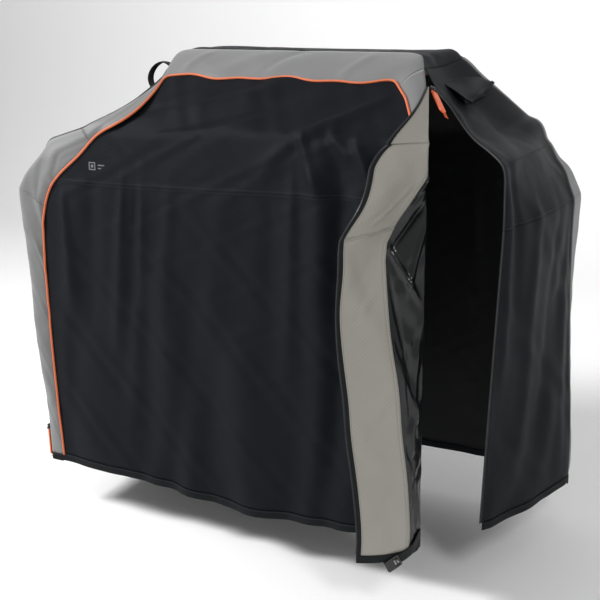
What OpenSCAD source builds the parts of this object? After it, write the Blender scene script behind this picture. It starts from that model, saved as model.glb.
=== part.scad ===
// Fitted cloth cover for a cart grill, with the right zip open and the front flap folded back.
// Lengths are millimetres. X runs along the cover, -Y is the front, +Z is up.
// The origin is on the flat inner face of the hood's top, where the cover rests.

/* [Cover] */
// Overall length across the shoulders
cover_l = 1472; // [1200:1:1800]
// Depth from front face to rear face
cover_d = 610; // [450:1:750]
// Height from hem to the hood's top
cover_h = 1219; // [1000:1:1350]
// Length across the hem
hem_l = 1432; // [1150:1:1780]
// Thickness of each cloth wall
wall = 4; // [2:0.5:6]

/* [Outline of the ends] */
// Height of the shoulder corner, where the drop starts
shoulder_h = 850; // [700:1:950]
// Half length at the shelf's outer edge
shelf_x = 662; // [550:1:720]
// Height of the shelf's outer edge
shelf_h = 996; // [900:1:1040]
// Half length where the hood side meets the shelf
side_x = 560; // [450:1:640]
// Height where the hood side meets the shelf
side_h = 1032; // [1000:1:1080]
// Half length at the hood's rounded corner
corner_x = 400; // [300:1:480]
// Height of the hood's rounded corner
corner_h = 1185; // [1120:1:1210]
// Half length of the flat top
top_x = 363; // [280:1:440]

/* [Profile of the front and rear] */
// Height of the front crease, where the slope starts
crease_h = 1040; // [950:1:1100]
// Front slope's bend, distance behind the front face
bend_in = 165; // [100:1:220]
// Height of the front slope's bend
bend_h = 1165; // [1100:1:1200]
// Y of the flat top's front edge
top_front = -30; // [-100:1:20]
// Y of the flat top's rear edge
top_rear = 182; // [100:1:260]
// Height where the rear slope starts
rear_bend_h = 1000; // [900:1:1100]

/* [Bands and piping] */
// Half length at the piping, at the hem
pipe_hem_x = 600; // [500:1:680]
// Half length at the piping, below the shoulder
pipe_low_x = 616; // [500:1:690]
// Height of the piping's lower corner
pipe_low_h = 790; // [650:1:840]
// Half length at the piping, near the shelf
pipe_shelf_x = 480; // [400:1:560]
// Height of the piping near the shelf
pipe_shelf_h = 998; // [900:1:1020]
// Half length at the piping, at the crease
pipe_side_x = 430; // [380:1:500]
// Height of the piping at the crease
pipe_side_h = 1035; // [1000:1:1060]
// Half length at the piping, on the hood
pipe_top_x = 352; // [300:1:380]
// Height where the piping turns along the hood
pipe_turn_h = 1112; // [1060:1:1140]
// Height of the piping along the hood
pipe_top_h = 1160; // [1140:1:1164]
// Width of the piping
pipe_w = 6; // [3:0.5:10]
// Height the piping stands above the cloth
pipe_t = 3; // [1:0.5:5]
// Height of the level seam across the panel
seam_h = 880; // [800:1:960]
// Height of the hem binding
hem_w = 22; // [10:1:40]

/* [Flap] */
// Half length at the fold line, at the hem
fold_hem_x = 499; // [420:1:560]
// Half length at the fold line, at the crease
fold_crease_x = 484; // [420:1:560]
// Half length at the fold line, at the zip's top
fold_top_x = 419; // [405:1:424]
// Height of the zip's upper end
zip_top_h = 1160; // [1140:1:1164]
// Angle that the flap is folded open
fold_open = 140; // [120:1:165]
// Gap kept on each side of the fold line
fold_gap = 3; // [2:0.5:6]
// Gap between the closed flap and the gusset
edge_gap = 1.5; // [0.5:0.5:3]
// Y where the end panel's fold meets the hem
end_fold_y = 250; // [100:1:280]

/* [Zips] */
// Width of each zip tape
tape_w = 14; // [8:1:25]
// Width of the teeth
teeth_w = 5; // [3:0.5:8]
// Height that the teeth stand proud
teeth_t = 1.6; // [1:0.2:3]
// Slider length, width and thickness
slider_s = [15, 11, 6]; // [4:1:30]
// Pull length, width and thickness
pull_s = [84, 20, 4]; // [2:1:110]
// Height of the parked left slider
slider_h = 96; // [90:1:200]

/* [Vent] */
// Vent flap's length down the slope
vent_l = 92; // [60:1:120]
// Vent flap's width
vent_w = 190; // [120:1:230]
// Y of the vent's middle
vent_y = 62; // [20:1:90]
// Distance from the hood's corner to the vent's hinge
vent_s = 40; // [20:1:60]
// Angle that the vent flap stands open
vent_open = 14; // [5:1:40]
// Width of the mesh window's border
mesh_rim = 22; // [10:1:40]

/* [Carry loop] */
// Distance between the loop's sewn ends
loop_l = 96; // [60:1:140]
// Height the loop stands above the slope
loop_r = 44; // [30:1:70]
// Width of the loop's webbing
loop_w = 28; // [20:1:50]
// Thickness of the loop's webbing
loop_t = 3; // [2:0.5:5]
// Distance from the hood's corner to the loop's upper end
loop_s = 14; // [10:1:60]
// Y of the loop's middle
loop_y = 0; // [-40:1:60]

/* [Straps and mark] */
// Strap length, width and thickness
strap_s = [86, 25, 3]; // [2:1:200]
// Buckle length, width and thickness
buckle_s = [44, 36, 10]; // [5:1:80]
// X of the rear strap
strap_x = 560; // [400:1:660]
// Height of the rear strap's sewn end
strap_h = 175; // [150:1:300]
// Left end of the plain mark
mark_x = -505; // [-560:1:-460]
// Bottom of the plain mark
mark_h = 912; // [890:1:940]
// Height of the plain mark
mark_s = 22; // [12:1:40]

/* [Hidden] */
front_y = -cover_d / 2;
rear_y = cover_d / 2;
half = cover_l / 2;
hem_x = hem_l / 2;
far = cover_l;
round_n = 24;
sew_gap = 0.4;
skin = 1;
cut = 1;
lug_h = 2;
pipe_clear = 14;
black = [0.07, 0.075, 0.085];
grey = [0.55, 0.56, 0.55];
orange = [0.8, 0.35, 0.18];
trim = [0.12, 0.13, 0.13];
plastic = [0.03, 0.03, 0.03];

// Polygon helpers. Polygons run anticlockwise, so the left normal points inward.
function unit(v) = v / norm(v);
function inward(a, b) = let (u = unit(b - a)) [-u[1], u[0]];
function cross2(a, b) = a[0] * b[1] - a[1] * b[0];
function solve(n1, d1, n2, d2) =
  let (det = cross2(n1, n2)) [(d1 * n2[1] - d2 * n1[1]) / det, (n1[0] * d2 - n2[0] * d1) / det];
// Moves every edge i inward by d[i].
function inset(p, d) =
  let (n = len(p))
  [for (i = [0 : n - 1])
    let (before = (i + n - 1) % n)
    p[i] + solve(inward(p[before], p[i]), d[before], inward(p[i], p[(i + 1) % n]), d[i])];
function mirrored(p) = [for (i = [len(p) - 1 : -1 : 0]) [-p[i][0], p[i][1]]];
// Point at height h on the line from a to b.
function at_h(a, b, h) = a + (b - a) * (h - a[1]) / (b[1] - a[1]);
function fold_x(h) = fold_hem_x + (fold_crease_x - fold_hem_x) * h / crease_h;

// Outline of the ends in X and Z. Edges: hem, then drop, shoulder, shelf, side, corner, top and back.
half_outline = [[hem_x, 0], [half, shoulder_h], [shelf_x, shelf_h], [side_x, side_h],
  [corner_x, corner_h], [top_x, cover_h]];
outline = concat([[-hem_x, 0]], half_outline,
  [for (i = [5 : -1 : 1]) [-half_outline[i][0], half_outline[i][1]]]);
function each_edge(d) = [for (i = [0 : 11]) i == 0 ? 0 : d];
outline_in = inset(outline, each_edge(wall));
outline_tape = inset(outline, each_edge(tape_w));
outline_teeth = inset(outline, each_edge(-teeth_t));

// Line of the piping, as the closed edge of the black panel.
half_pipe = [[pipe_hem_x, 0], [pipe_low_x, pipe_low_h], [pipe_shelf_x, pipe_shelf_h],
  [pipe_side_x, pipe_side_h], [pipe_top_x, pipe_turn_h], [pipe_top_x, pipe_top_h]];
pipe_line = concat([[-pipe_hem_x, 0]], half_pipe,
  [for (i = [5 : -1 : 1]) [-half_pipe[i][0], half_pipe[i][1]]]);

// Profile in Y and Z. Edges: hem, rear drop, rear slope, top, upper slope, slope, front drop.
profile = [[front_y, 0], [rear_y, 0], [rear_y, rear_bend_h], [top_rear, cover_h],
  [top_front, cover_h], [front_y + bend_in, bend_h], [front_y, crease_h]];
profile_in = inset(profile, [0, wall, wall, 0, wall, wall, wall]);
front_ins = wall + edge_gap;
profile_gap = inset(profile, [0, wall, wall, 0, front_ins, front_ins, front_ins]);
tape_ins = front_ins + tape_w;
profile_tape = inset(profile, [0, wall, wall, 0, tape_ins, tape_ins, tape_ins]);
left_ins = wall + tape_w;
profile_left = inset(profile, [0, wall, wall, 0, left_ins, left_ins, left_ins]);
function teeth_profile(d) = inset(profile, [0, 0, 0, 0, d, d, d]);
profile_pipe = inset(profile, [0, -pipe_t, -pipe_t, 0, -pipe_t, -pipe_t, -pipe_t]);
function front_strip(a, b) = [a[0], a[6], a[5], a[4], b[4], b[5], b[6], b[0]];
function rear_strip(a, b) = [a[1], a[2], a[3], b[3], b[2], b[1]];
function slope_y(h) = front_y + bend_in * (h - crease_h) / (bend_h - crease_h);

// Corners that the flap's pieces share.
crease_out = at_h([side_x, side_h], [corner_x, corner_h], crease_h);
zip_top_out = at_h([side_x, side_h], [corner_x, corner_h], zip_top_h);
seam_fold_h = pipe_low_h + (pipe_shelf_h - pipe_low_h) * (pipe_low_x - fold_x(pipe_shelf_h))
  / (pipe_low_x - pipe_shelf_x);

// Points that several pieces share, and their mirror images on the left.
function left(p) = [-p[0], p[1]];
function fold_left(h) = [fold_x(h) - fold_gap, h];
pipe_foot = at_h(half_pipe[0], half_pipe[1], hem_w);
pipe_seam = at_h(half_pipe[1], half_pipe[2], seam_h);
pipe_bend = at_h(half_pipe[2], half_pipe[3], rear_bend_h);
pipe_crease = at_h(half_pipe[3], half_pipe[4], crease_h);
hem_top = at_h(outline[1], outline[2], hem_w);
tape_foot = at_h(outline_tape[1], outline_tape[2], hem_w);
top_band = [left(zip_top_out), left(half_pipe[5]), half_pipe[5], zip_top_out, outline[5],
  outline[6], outline[7], outline[8]];

// Axes of the two folds and of the end panel's fold.
fold_axis = [fold_crease_x - fold_hem_x, 0, crease_h];
fold_point = [fold_crease_x, front_y, crease_h];
top_fold_axis = [fold_top_x - fold_crease_x, slope_y(zip_top_h) - front_y, zip_top_h - crease_h];

// Slope of the hood side, for what lies on it.
side_run = [side_x - corner_x, corner_h - side_h];
side_tilt = atan2(side_run[1], side_run[0]);
zip_run = [crease_out[0] - zip_top_out[0], front_y - slope_y(zip_top_h), crease_h - zip_top_h];
zip_turn = atan2(-zip_run[1], norm([zip_run[0], zip_run[2]]));
drop_lean = atan2(half - hem_x, shoulder_h);
// Distance from the front face to the left zip's teeth.
teeth_in = wall + skin;

// Everything is drawn with the hem at zero height and then lowered into the part's frame.
module placed() { translate([0, 0, wall - cover_h]) children(); }
module prism_xz(p, y0 = front_y - far, y1 = rear_y + far) {
  translate([0, y1, 0]) rotate([90, 0, 0]) linear_extrude(y1 - y0) polygon(p);
}
module prism_yz(p, x0 = -far, x1 = far) {
  translate([x0, 0, 0]) rotate([90, 0, 90]) linear_extrude(x1 - x0) polygon(p);
}
module front_wall() { prism_yz(front_strip(profile, profile_in)); }
module rear_wall() { prism_yz(rear_strip(profile, profile_in)); }
module front_piece(p) {
  intersection() {
    front_wall();
    prism_xz(p, front_y - wall, 0);
  }
}
module rear_piece(p) {
  intersection() {
    rear_wall();
    prism_xz(p, 0, rear_y + wall);
  }
}
// The strip between two outlines along edges i to last.
module side_strip(i, last, outer, inner) {
  n = len(outline);
  prism_xz(concat([for (k = [i : last + 1]) outer[k % n]], [for (k = [last + 1 : -1 : i]) inner[k % n]]));
}
// The stretch of the gusset along edges i to last, between the front and rear walls.
module gusset_piece(i, last, side_profile) {
  intersection() {
    side_strip(i, last, outline, outline_in);
    prism_yz(side_profile);
  }
}
module open_flap() {
  translate(fold_point) rotate(a = -fold_open, v = fold_axis) translate(-fold_point) children();
}
module open_top_flap() {
  translate(fold_point) rotate(a = -fold_open, v = top_fold_axis) translate(-fold_point) children();
}
// Frames whose X runs down the right or left hood side, Z outward, origin at the hood's corner.
module right_side() { translate([corner_x, 0, corner_h]) rotate([0, side_tilt, 0]) children(); }
module left_side() { mirror([1, 0, 0]) right_side() children(); }
// Frame at the zip's upper end, X along the gusset's front edge, Z outward.
module zip_edge() {
  translate([zip_top_out[0], slope_y(zip_top_h), zip_top_h])
    rotate([0, side_tilt, 0]) rotate([0, 0, -zip_turn]) children();
}
// Frame on the left end's front edge, X down the drop, Z out of the end.
module drop_edge(h) {
  translate([-hem_x - (half - hem_x) * h / shoulder_h, front_y, h])
    rotate([0, -drop_lean, 0]) rotate([0, 90, 0]) rotate([180, 0, 0]) children();
}

// Front wall.
module front_panel_lower() {
  color(black) placed() front_piece([left(pipe_foot), fold_left(hem_w), fold_left(seam_h),
    left(pipe_seam), left(half_pipe[1])]);
}
module front_panel_middle() {
  color(black) placed() front_piece([left(pipe_seam), fold_left(seam_h), fold_left(seam_fold_h),
    half_pipe[2], half_pipe[3], pipe_crease, left(pipe_crease), left(half_pipe[3]), left(half_pipe[2])]);
}
module front_panel_upper() {
  color(black) placed() front_piece([left(pipe_crease), pipe_crease, half_pipe[4], half_pipe[5],
    left(half_pipe[5]), left(half_pipe[4])]);
}
module front_band_left_drop() {
  color(grey) placed() front_piece([left(pipe_foot), left(half_pipe[1]), outline[11], left(hem_top)]);
}
module front_band_left_shoulder() {
  color(grey) placed() front_piece([outline[11], left(half_pipe[1]), left(half_pipe[2]), outline[10]]);
}
module front_band_left_hood() {
  color(grey) placed() front_piece([outline[10], left(half_pipe[2]), left(half_pipe[3]),
    left(half_pipe[4]), left(half_pipe[5]), left(zip_top_out), outline[9]]);
}
module front_band_top() {
  color(grey) placed() front_piece(top_band);
}
module front_band_right_hood() {
  color(grey) placed() front_piece([half_pipe[2], fold_left(pipe_shelf_h), fold_left(crease_h),
    [fold_top_x - fold_gap, zip_top_h],
    [pipe_top_x, pipe_top_h], half_pipe[4], half_pipe[3]]);
}
module piping_ring() {
  difference() {
    prism_xz(inset(pipe_line, each_edge(-pipe_w / 2)));
    prism_xz(inset(pipe_line, each_edge(pipe_w / 2)), 2 * front_y - far, 2 * rear_y + far);
  }
}
module front_piping_skin() { prism_yz(front_strip(profile_pipe, profile)); }
module front_piping() {
  color(orange) placed() intersection() {
    piping_ring();
    front_piping_skin();
    prism_xz([[-half, 0], [fold_hem_x - pipe_clear, 0], [fold_crease_x - pipe_clear, crease_h],
      [pipe_top_x + pipe_w, cover_h], [-half, cover_h]]);
  }
}
module front_hem() {
  color(trim) placed() front_piece([[-hem_x, 0], fold_left(0), fold_left(hem_w), left(hem_top)]);
}

// Gusset.
module gusset_top() { color(black) placed() gusset_piece(6, 6, profile_in); }
module above_hem() { translate([-far, -far, hem_w]) cube([2 * far, 2 * far, cover_h]); }
// Above the zips' ends the gusset reaches the front band, below them the zip tapes are in front.
module above_zip() { translate([-far, -far, zip_top_h]) cube([2 * far, 2 * far, cover_h]); }
module below_zip() { translate([-far, -far, 0]) cube([2 * far, 2 * far, zip_top_h]); }
module gusset_hood(i, below_profile) {
  intersection() {
    gusset_piece(i, i + 1, profile_in);
    above_zip();
  }
  intersection() {
    gusset_piece(i, i + 1, below_profile);
    below_zip();
  }
}
module gusset_left_hood() { color(black) placed() gusset_hood(7, profile_left); }
module gusset_left_shelf() { color(black) placed() gusset_piece(9, 9, profile_left); }
module gusset_left_shoulder() { color(black) placed() gusset_piece(10, 10, profile_left); }
module gusset_left_end() {
  color(black) placed() intersection() {
    gusset_piece(11, 11, profile_left);
    above_hem();
  }
}
module vent_window(grow, low, high) {
  right_side() translate([vent_s + mesh_rim - grow, vent_y - vent_w / 2 + mesh_rim - grow, low])
    cube([vent_l - 2 * mesh_rim + 2 * grow, vent_w - 2 * mesh_rim + 2 * grow, high - low]);
}
module gusset_right_hood() {
  color(black) placed() difference() {
    gusset_hood(4, profile_tape);
    vent_window(0, -2 * wall, wall);
  }
}
module gusset_right_shelf() { color(black) placed() gusset_piece(3, 3, profile_tape); }
module gusset_right_shoulder() { color(black) placed() gusset_piece(2, 2, profile_tape); }
// Behind the end panel's fold, which runs from the shoulder's front corner to the hem.
function end_fold(shift) = [[front_ins + front_y + shift, shoulder_h], [end_fold_y + shift, 0]];
module gusset_right_end() {
  line = end_fold(fold_gap);
  color(black) placed() intersection() {
    gusset_piece(1, 1, profile_in);
    prism_yz([line[1], [far, 0], [far, shoulder_h], line[0]]);
    above_hem();
  }
}
module right_zip_tape() {
  color(trim) placed() difference() {
    intersection() {
      gusset_piece(2, 4, profile_gap);
      below_zip();
    }
    prism_yz(profile_tape);
  }
}

// Rear wall.
module rear_panel_lower() {
  color(black) placed() rear_piece([left(pipe_foot), pipe_foot, half_pipe[1], pipe_seam,
    left(pipe_seam), left(half_pipe[1])]);
}
module rear_panel_middle() {
  color(black) placed() rear_piece([left(pipe_seam), pipe_seam, half_pipe[2],
    pipe_bend, left(pipe_bend), left(half_pipe[2])]);
}
module rear_panel_upper() {
  color(black) placed() rear_piece([left(pipe_bend), pipe_bend, half_pipe[3], half_pipe[4],
    half_pipe[5], left(half_pipe[5]), left(half_pipe[4]), left(half_pipe[3])]);
}
right_rear_band = [pipe_foot, hem_top, outline[2], outline[3], half_pipe[2], half_pipe[1]];
right_rear_hood = [half_pipe[2], outline[3], outline[4], zip_top_out, half_pipe[5], half_pipe[4],
  half_pipe[3]];
module rear_band_right() { color(grey) placed() rear_piece(right_rear_band); }
module rear_band_left() { color(grey) placed() rear_piece(mirrored(right_rear_band)); }
module rear_band_right_hood() { color(grey) placed() rear_piece(right_rear_hood); }
module rear_band_left_hood() { color(grey) placed() rear_piece(mirrored(right_rear_hood)); }
module rear_band_top() {
  color(grey) placed() rear_piece(top_band);
}
module rear_piping() {
  color(orange) placed() intersection() {
    piping_ring();
    prism_yz(rear_strip(profile_pipe, profile));
  }
}
module rear_hem() {
  color(trim) placed() rear_piece([[-hem_x, 0], [hem_x, 0], hem_top, left(hem_top)]);
}
module hem_slab() { translate([-far, -far, 0]) cube([2 * far, 2 * far, hem_w]); }
module end_hems() {
  line = end_fold(fold_gap);
  color(trim) placed() intersection() {
    union() {
      gusset_piece(11, 11, profile_in);
      intersection() {
        gusset_piece(1, 1, profile_in);
        prism_yz([line[1], [far, 0], [far, shoulder_h], line[0]]);
      }
    }
    hem_slab();
  }
}

// Zips.
module left_zip_tape() {
  color(trim) placed() difference() {
    intersection() {
      gusset_piece(8, 11, profile_in);
      below_zip();
      above_hem();
    }
    prism_yz(profile_left);
  }
}
module left_zip_teeth() {
  color(plastic) placed() difference() {
    intersection() {
      side_strip(8, 11, outline_teeth, outline);
      prism_yz(teeth_profile(teeth_in));
      below_zip();
      above_hem();
    }
    prism_yz(teeth_profile(teeth_in + teeth_w));
  }
}
// A slider with a lug for its pull, X along its travel.
module slider_body() {
  translate([-slider_s[0] / 2, -slider_s[1] / 2, 0]) cube(slider_s);
  translate([-slider_s[0] / 4, -slider_s[1] / 6, slider_s[2]])
    cube([slider_s[0] / 2, slider_s[1] / 3, lug_h]);
}
module pull_body() {
  difference() {
    union() {
      translate([0, -pull_s[1] / 2, 0]) cube([pull_s[0] - pull_s[1] / 2, pull_s[1], pull_s[2]]);
      translate([pull_s[0] - pull_s[1] / 2, 0, 0]) cylinder(h = pull_s[2], r = pull_s[1] / 2);
    }
    translate([pull_s[1] / 3, -pull_s[1] / 6, -cut])
      cube([pull_s[1] / 6, pull_s[1] / 3, pull_s[2] + 2 * cut]);
  }
}
left_lift = teeth_t + sew_gap;
pull_gap = 3;
// Set in from the edge, so that the flap's tape clears them as it closes.
pull_shift = 5;
module left_slider() {
  color(plastic) placed() drop_edge(slider_h) translate([0, -teeth_in - teeth_w / 2, left_lift]) slider_body();
}
module left_pull() {
  color(orange) placed() drop_edge(slider_h)
    translate([slider_s[0] / 2 + pull_gap, -skin - pull_s[1] / 2, left_lift]) pull_body();
}
module right_slider() {
  color(plastic) placed() zip_edge() translate([slider_s[0] / 2, pull_shift + tape_w / 2, sew_gap]) slider_body();
}
module right_pull() {
  color(orange) placed() zip_edge()
    translate([slider_s[0] + pull_gap, pull_shift + pull_s[1] / 2, sew_gap]) pull_body();
}

// Flap, drawn closed and then folded open.
module flap_piece(p) { open_flap() front_piece(p); }
function fold_right(h) = [fold_x(h) + fold_gap, h];
module flap_panel() {
  color(black) placed() flap_piece([fold_right(hem_w), pipe_foot, half_pipe[1], fold_right(seam_fold_h)]);
}
module flap_band_drop() {
  color(grey) placed() flap_piece([pipe_foot, tape_foot, outline_tape[2], half_pipe[1]]);
}
module flap_band_shoulder() {
  color(grey) placed() flap_piece([half_pipe[1], outline_tape[2], outline_tape[3],
    fold_right(pipe_shelf_h), fold_right(seam_fold_h)]);
}
flap_top_h = crease_h - edge_gap;
module flap_band_shelf() {
  color(grey) placed() flap_piece([fold_right(pipe_shelf_h), outline_tape[3], outline_tape[4],
    at_h(outline_tape[4], outline_tape[5], flap_top_h), fold_right(flap_top_h)]);
}
module flap_piping() {
  color(orange) placed() open_flap() intersection() {
    piping_ring();
    front_piping_skin();
    prism_xz([[fold_hem_x + pipe_clear, 0], [far, 0], [far, crease_h],
      [fold_crease_x + pipe_clear, crease_h]]);
  }
}
module flap_zip_tape() {
  color(trim) placed() flap_piece([tape_foot, hem_top, outline[2], outline[3], outline[4],
    at_h(outline[4], outline[5], flap_top_h), at_h(outline_tape[4], outline_tape[5], flap_top_h),
    outline_tape[4], outline_tape[3], outline_tape[2]]);
}
module flap_hem() {
  color(trim) placed() flap_piece([fold_right(0), [hem_x, 0], hem_top, fold_right(hem_w)]);
}
top_low_h = crease_h + edge_gap;
function top_fold(h) = [fold_crease_x + (fold_top_x - fold_crease_x) * (h - crease_h)
  / (zip_top_h - crease_h) + fold_gap, h];
// The tape's inner edge crosses the fold line near the zip's top, so the band ends there.
band_top_h = zip_top_h - 3 * tape_w;
top_tape_h = zip_top_h - 5 * edge_gap;
module flap_top_band() {
  color(grey) placed() open_top_flap() front_piece([top_fold(top_low_h),
    at_h(outline_tape[4], outline_tape[5], top_low_h), at_h(outline_tape[4], outline_tape[5], band_top_h),
    top_fold(band_top_h)]);
}
module flap_top_zip_tape() {
  color(trim) placed() open_top_flap() front_piece([at_h(outline_tape[4], outline_tape[5], top_low_h),
    at_h(outline[4], outline[5], top_low_h), at_h(outline[4], outline[5], top_tape_h),
    top_fold(top_tape_h), top_fold(band_top_h),
    at_h(outline_tape[4], outline_tape[5], band_top_h)]);
}

// End panel's loose part, in front of its fold.
module end_piece(side_profile) {
  line = end_fold(-fold_gap);
  intersection() {
    gusset_piece(1, 1, side_profile);
    prism_yz([[-far, 0], line[1], line[0], [-far, shoulder_h]]);
  }
}
module end_flap_panel() {
  color(black) placed() intersection() {
    end_piece(profile_tape);
    above_hem();
  }
}
module end_flap_zip_tape() {
  color(trim) placed() difference() {
    intersection() {
      end_piece(profile_gap);
      above_hem();
    }
    prism_yz(profile_tape);
  }
}
module end_flap_hem() {
  color(trim) placed() intersection() {
    end_piece(profile_gap);
    hem_slab();
  }
}

// Vent on the right hood side.
hinge_lift = 2;
module vent_flap() {
  color(black) placed() right_side() translate([vent_s, vent_y - vent_w / 2, hinge_lift])
    rotate([0, -vent_open, 0]) cube([vent_l, vent_w, wall - 1]);
}
module vent_mesh() {
  bars = 7;
  slot_share = 0.6;
  pitch = (vent_w - 2 * mesh_rim) / bars;
  first = vent_y - vent_w / 2 + mesh_rim + pitch * (1 - slot_share) / 2;
  color(trim) placed() difference() {
    vent_window(0, -wall, 0);
    for (i = [0 : bars - 1])
      right_side() translate([vent_s + mesh_rim + wall, first + pitch * i, -2 * wall])
        cube([vent_l - 2 * mesh_rim - 2 * wall, pitch * slot_share, 3 * wall]);
  }
}

// Carry loop on the left hood side.
anchor_t = 2;
function arc(r_along, r_out) = [for (i = [0 : round_n])
  let (a = 180 * i / round_n) [-r_along * cos(a), r_out * sin(a)]];
// The loop's ends stand clear, so that it can flop to each side by this angle.
loop_flop = 30;
module carry_loop() {
  low = anchor_t + sew_gap + loop_w / 2 * sin(loop_flop);
  inner = arc(loop_l / 2 - loop_t, loop_r - loop_t);
  rim = concat(arc(loop_l / 2, loop_r), [for (i = [round_n : -1 : 0]) inner[i]]);
  color(plastic) placed() left_side()
    translate([loop_s + loop_l / 2, loop_y + loop_w / 2, low]) rotate([90, 0, 0]) linear_extrude(loop_w)
      polygon(rim);
}
module loop_anchors() {
  color(plastic) placed() left_side() for (s = [loop_s - loop_w / 2, loop_s + loop_l - loop_w / 2])
    translate([s, loop_y - loop_w / 2 - anchor_t, 0]) cube([loop_w, loop_w + 2 * anchor_t, anchor_t]);
}

// A plain mark: a frame with a dot and two short bars.
module plain_mark() {
  line = mark_s / 8;
  color(grey) placed() translate([mark_x, front_y, mark_h]) rotate([90, 0, 0]) {
    difference() {
      cube([mark_s, mark_s, skin]);
      translate([line, line, -skin]) cube([mark_s - 2 * line, mark_s - 2 * line, 3 * skin]);
    }
    translate([mark_s / 2, mark_s / 2, 0]) cylinder(h = skin, r = mark_s / 5);
    for (k = [0, 1])
      translate([1.4 * mark_s, mark_s * (0.2 + 0.4 * k), 0]) cube([mark_s * (1.9 - 0.5 * k), line, skin]);
  }
}

// Straps with buckle halves.
module buckle_half() {
  difference() {
    translate([0, -buckle_s[1] / 2, 0]) cube(buckle_s);
    translate([buckle_s[0] / 4, -buckle_s[1] / 3, -1])
      cube([buckle_s[0] / 2, buckle_s[1] * 2 / 3, buckle_s[2] + 2]);
  }
}
// On the flap's inner face by the hem, X from the sewn end towards the free edge.
module flap_strap_place() {
  open_flap() translate([fold_hem_x + pipe_clear, front_y + wall + sew_gap, hem_w + strap_s[1]])
    rotate([-90, 0, 0]) children();
}
module flap_strap() {
  color(plastic) placed() flap_strap_place() translate([0, -strap_s[1] / 2, 0]) cube(strap_s);
}
module flap_buckle() {
  color(plastic) placed() flap_strap_place() translate([strap_s[0], 0, 0]) buckle_half();
}
// On the rear panel's inner face, X hanging down.
module rear_strap_place() {
  translate([strap_x, rear_y - wall - sew_gap, strap_h]) rotate([0, 90, 0]) rotate([90, 0, 0]) children();
}
module rear_strap() {
  color(plastic) placed() rear_strap_place() translate([0, -strap_s[1] / 2, 0]) cube(strap_s);
}
module rear_buckle() {
  color(plastic) placed() rear_strap_place() translate([strap_s[0], 0, 0]) buckle_half();
}

front_panel_lower();
front_panel_middle();
front_panel_upper();
front_band_left_drop();
front_band_left_shoulder();
front_band_left_hood();
front_band_top();
front_band_right_hood();
front_piping();
front_hem();
gusset_top();
gusset_left_hood();
gusset_left_shelf();
gusset_left_shoulder();
gusset_left_end();
gusset_right_hood();
gusset_right_shelf();
gusset_right_shoulder();
gusset_right_end();
rear_panel_lower();
rear_panel_middle();
rear_panel_upper();
rear_band_left();
rear_band_right();
rear_band_left_hood();
rear_band_right_hood();
rear_band_top();
rear_piping();
rear_hem();
end_hems();
left_zip_tape();
left_zip_teeth();
right_zip_tape();
left_slider();
left_pull();
right_slider();
right_pull();
flap_panel();
flap_band_drop();
flap_band_shoulder();
flap_band_shelf();
flap_piping();
flap_zip_tape();
flap_hem();
flap_top_band();
flap_top_zip_tape();
end_flap_panel();
end_flap_zip_tape();
end_flap_hem();
vent_flap();
vent_mesh();
carry_loop();
loop_anchors();
plain_mark();
flap_strap();
flap_buckle();
rear_strap();
rear_buckle();
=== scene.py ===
import bpy
import math
import numpy as np
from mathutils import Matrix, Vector

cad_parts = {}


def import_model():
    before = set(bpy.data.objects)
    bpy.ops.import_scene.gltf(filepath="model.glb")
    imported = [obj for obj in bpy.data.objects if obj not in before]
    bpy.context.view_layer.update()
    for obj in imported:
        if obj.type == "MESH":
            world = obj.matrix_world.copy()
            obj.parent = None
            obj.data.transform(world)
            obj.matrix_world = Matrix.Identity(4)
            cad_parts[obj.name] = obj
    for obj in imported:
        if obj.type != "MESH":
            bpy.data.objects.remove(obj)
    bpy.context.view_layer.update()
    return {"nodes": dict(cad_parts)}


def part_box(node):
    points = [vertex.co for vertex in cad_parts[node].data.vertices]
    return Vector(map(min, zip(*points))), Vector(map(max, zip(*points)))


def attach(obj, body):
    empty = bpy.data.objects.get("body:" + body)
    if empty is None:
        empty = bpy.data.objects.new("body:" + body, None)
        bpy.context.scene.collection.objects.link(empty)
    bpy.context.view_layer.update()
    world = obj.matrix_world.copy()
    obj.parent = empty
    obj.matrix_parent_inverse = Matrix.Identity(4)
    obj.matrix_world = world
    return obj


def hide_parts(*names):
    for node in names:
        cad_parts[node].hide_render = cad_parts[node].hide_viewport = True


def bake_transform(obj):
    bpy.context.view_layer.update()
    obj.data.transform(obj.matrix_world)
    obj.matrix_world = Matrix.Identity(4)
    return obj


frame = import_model()

# ---- the frame's own measures, in metres
def lo(node):
    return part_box(node)[0]


def hi(node):
    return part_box(node)[1]


HEM = lo("rear_hem").z
FRONT = lo("front_panel_lower").y
REAR = hi("rear_panel_lower").y
TOP = hi("gusset_top").z - HEM
HALF, SHOULDER = -lo("gusset_left_shoulder").x, lo("gusset_left_shoulder").z - HEM
SHELF_X, SIDE_H = -lo("gusset_left_shelf").x, hi("gusset_left_shelf").z - HEM
SHELF_H = hi("gusset_left_shoulder").z - HEM
SIDE_X, TOP_X = -lo("gusset_left_hood").x, hi("gusset_top").x
CREASE = lo("front_panel_upper").z - HEM
PIPE_TOP = hi("front_panel_upper").z - HEM
TOP_FRONT, TOP_REAR = lo("gusset_top").y, hi("gusset_top").y
BEND_Y, BEND_H = FRONT + 0.165, 1.165
REAR_BEND = 1.0
HEM_X = hi("rear_hem").x - 0.0005
CORNER_X, CORNER_H = TOP_X + 0.037, TOP - 0.034
ZIP_H = PIPE_TOP
HEM_W = hi("rear_hem").z - HEM
FOLD_HEM, FOLD_CREASE, FOLD_TOP = 0.499, 0.484, 0.419
TAPE = 0.014
CLOTH = 0.0011
CORD_R = 0.0033
STITCH_GAP = 0.004
SEAM_H = 0.886


def smooth(a, b, x):
    t = np.clip((np.asarray(x, float) - a) / (b - a), 0, 1)
    return t * t * (3 - 2 * t)


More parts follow.
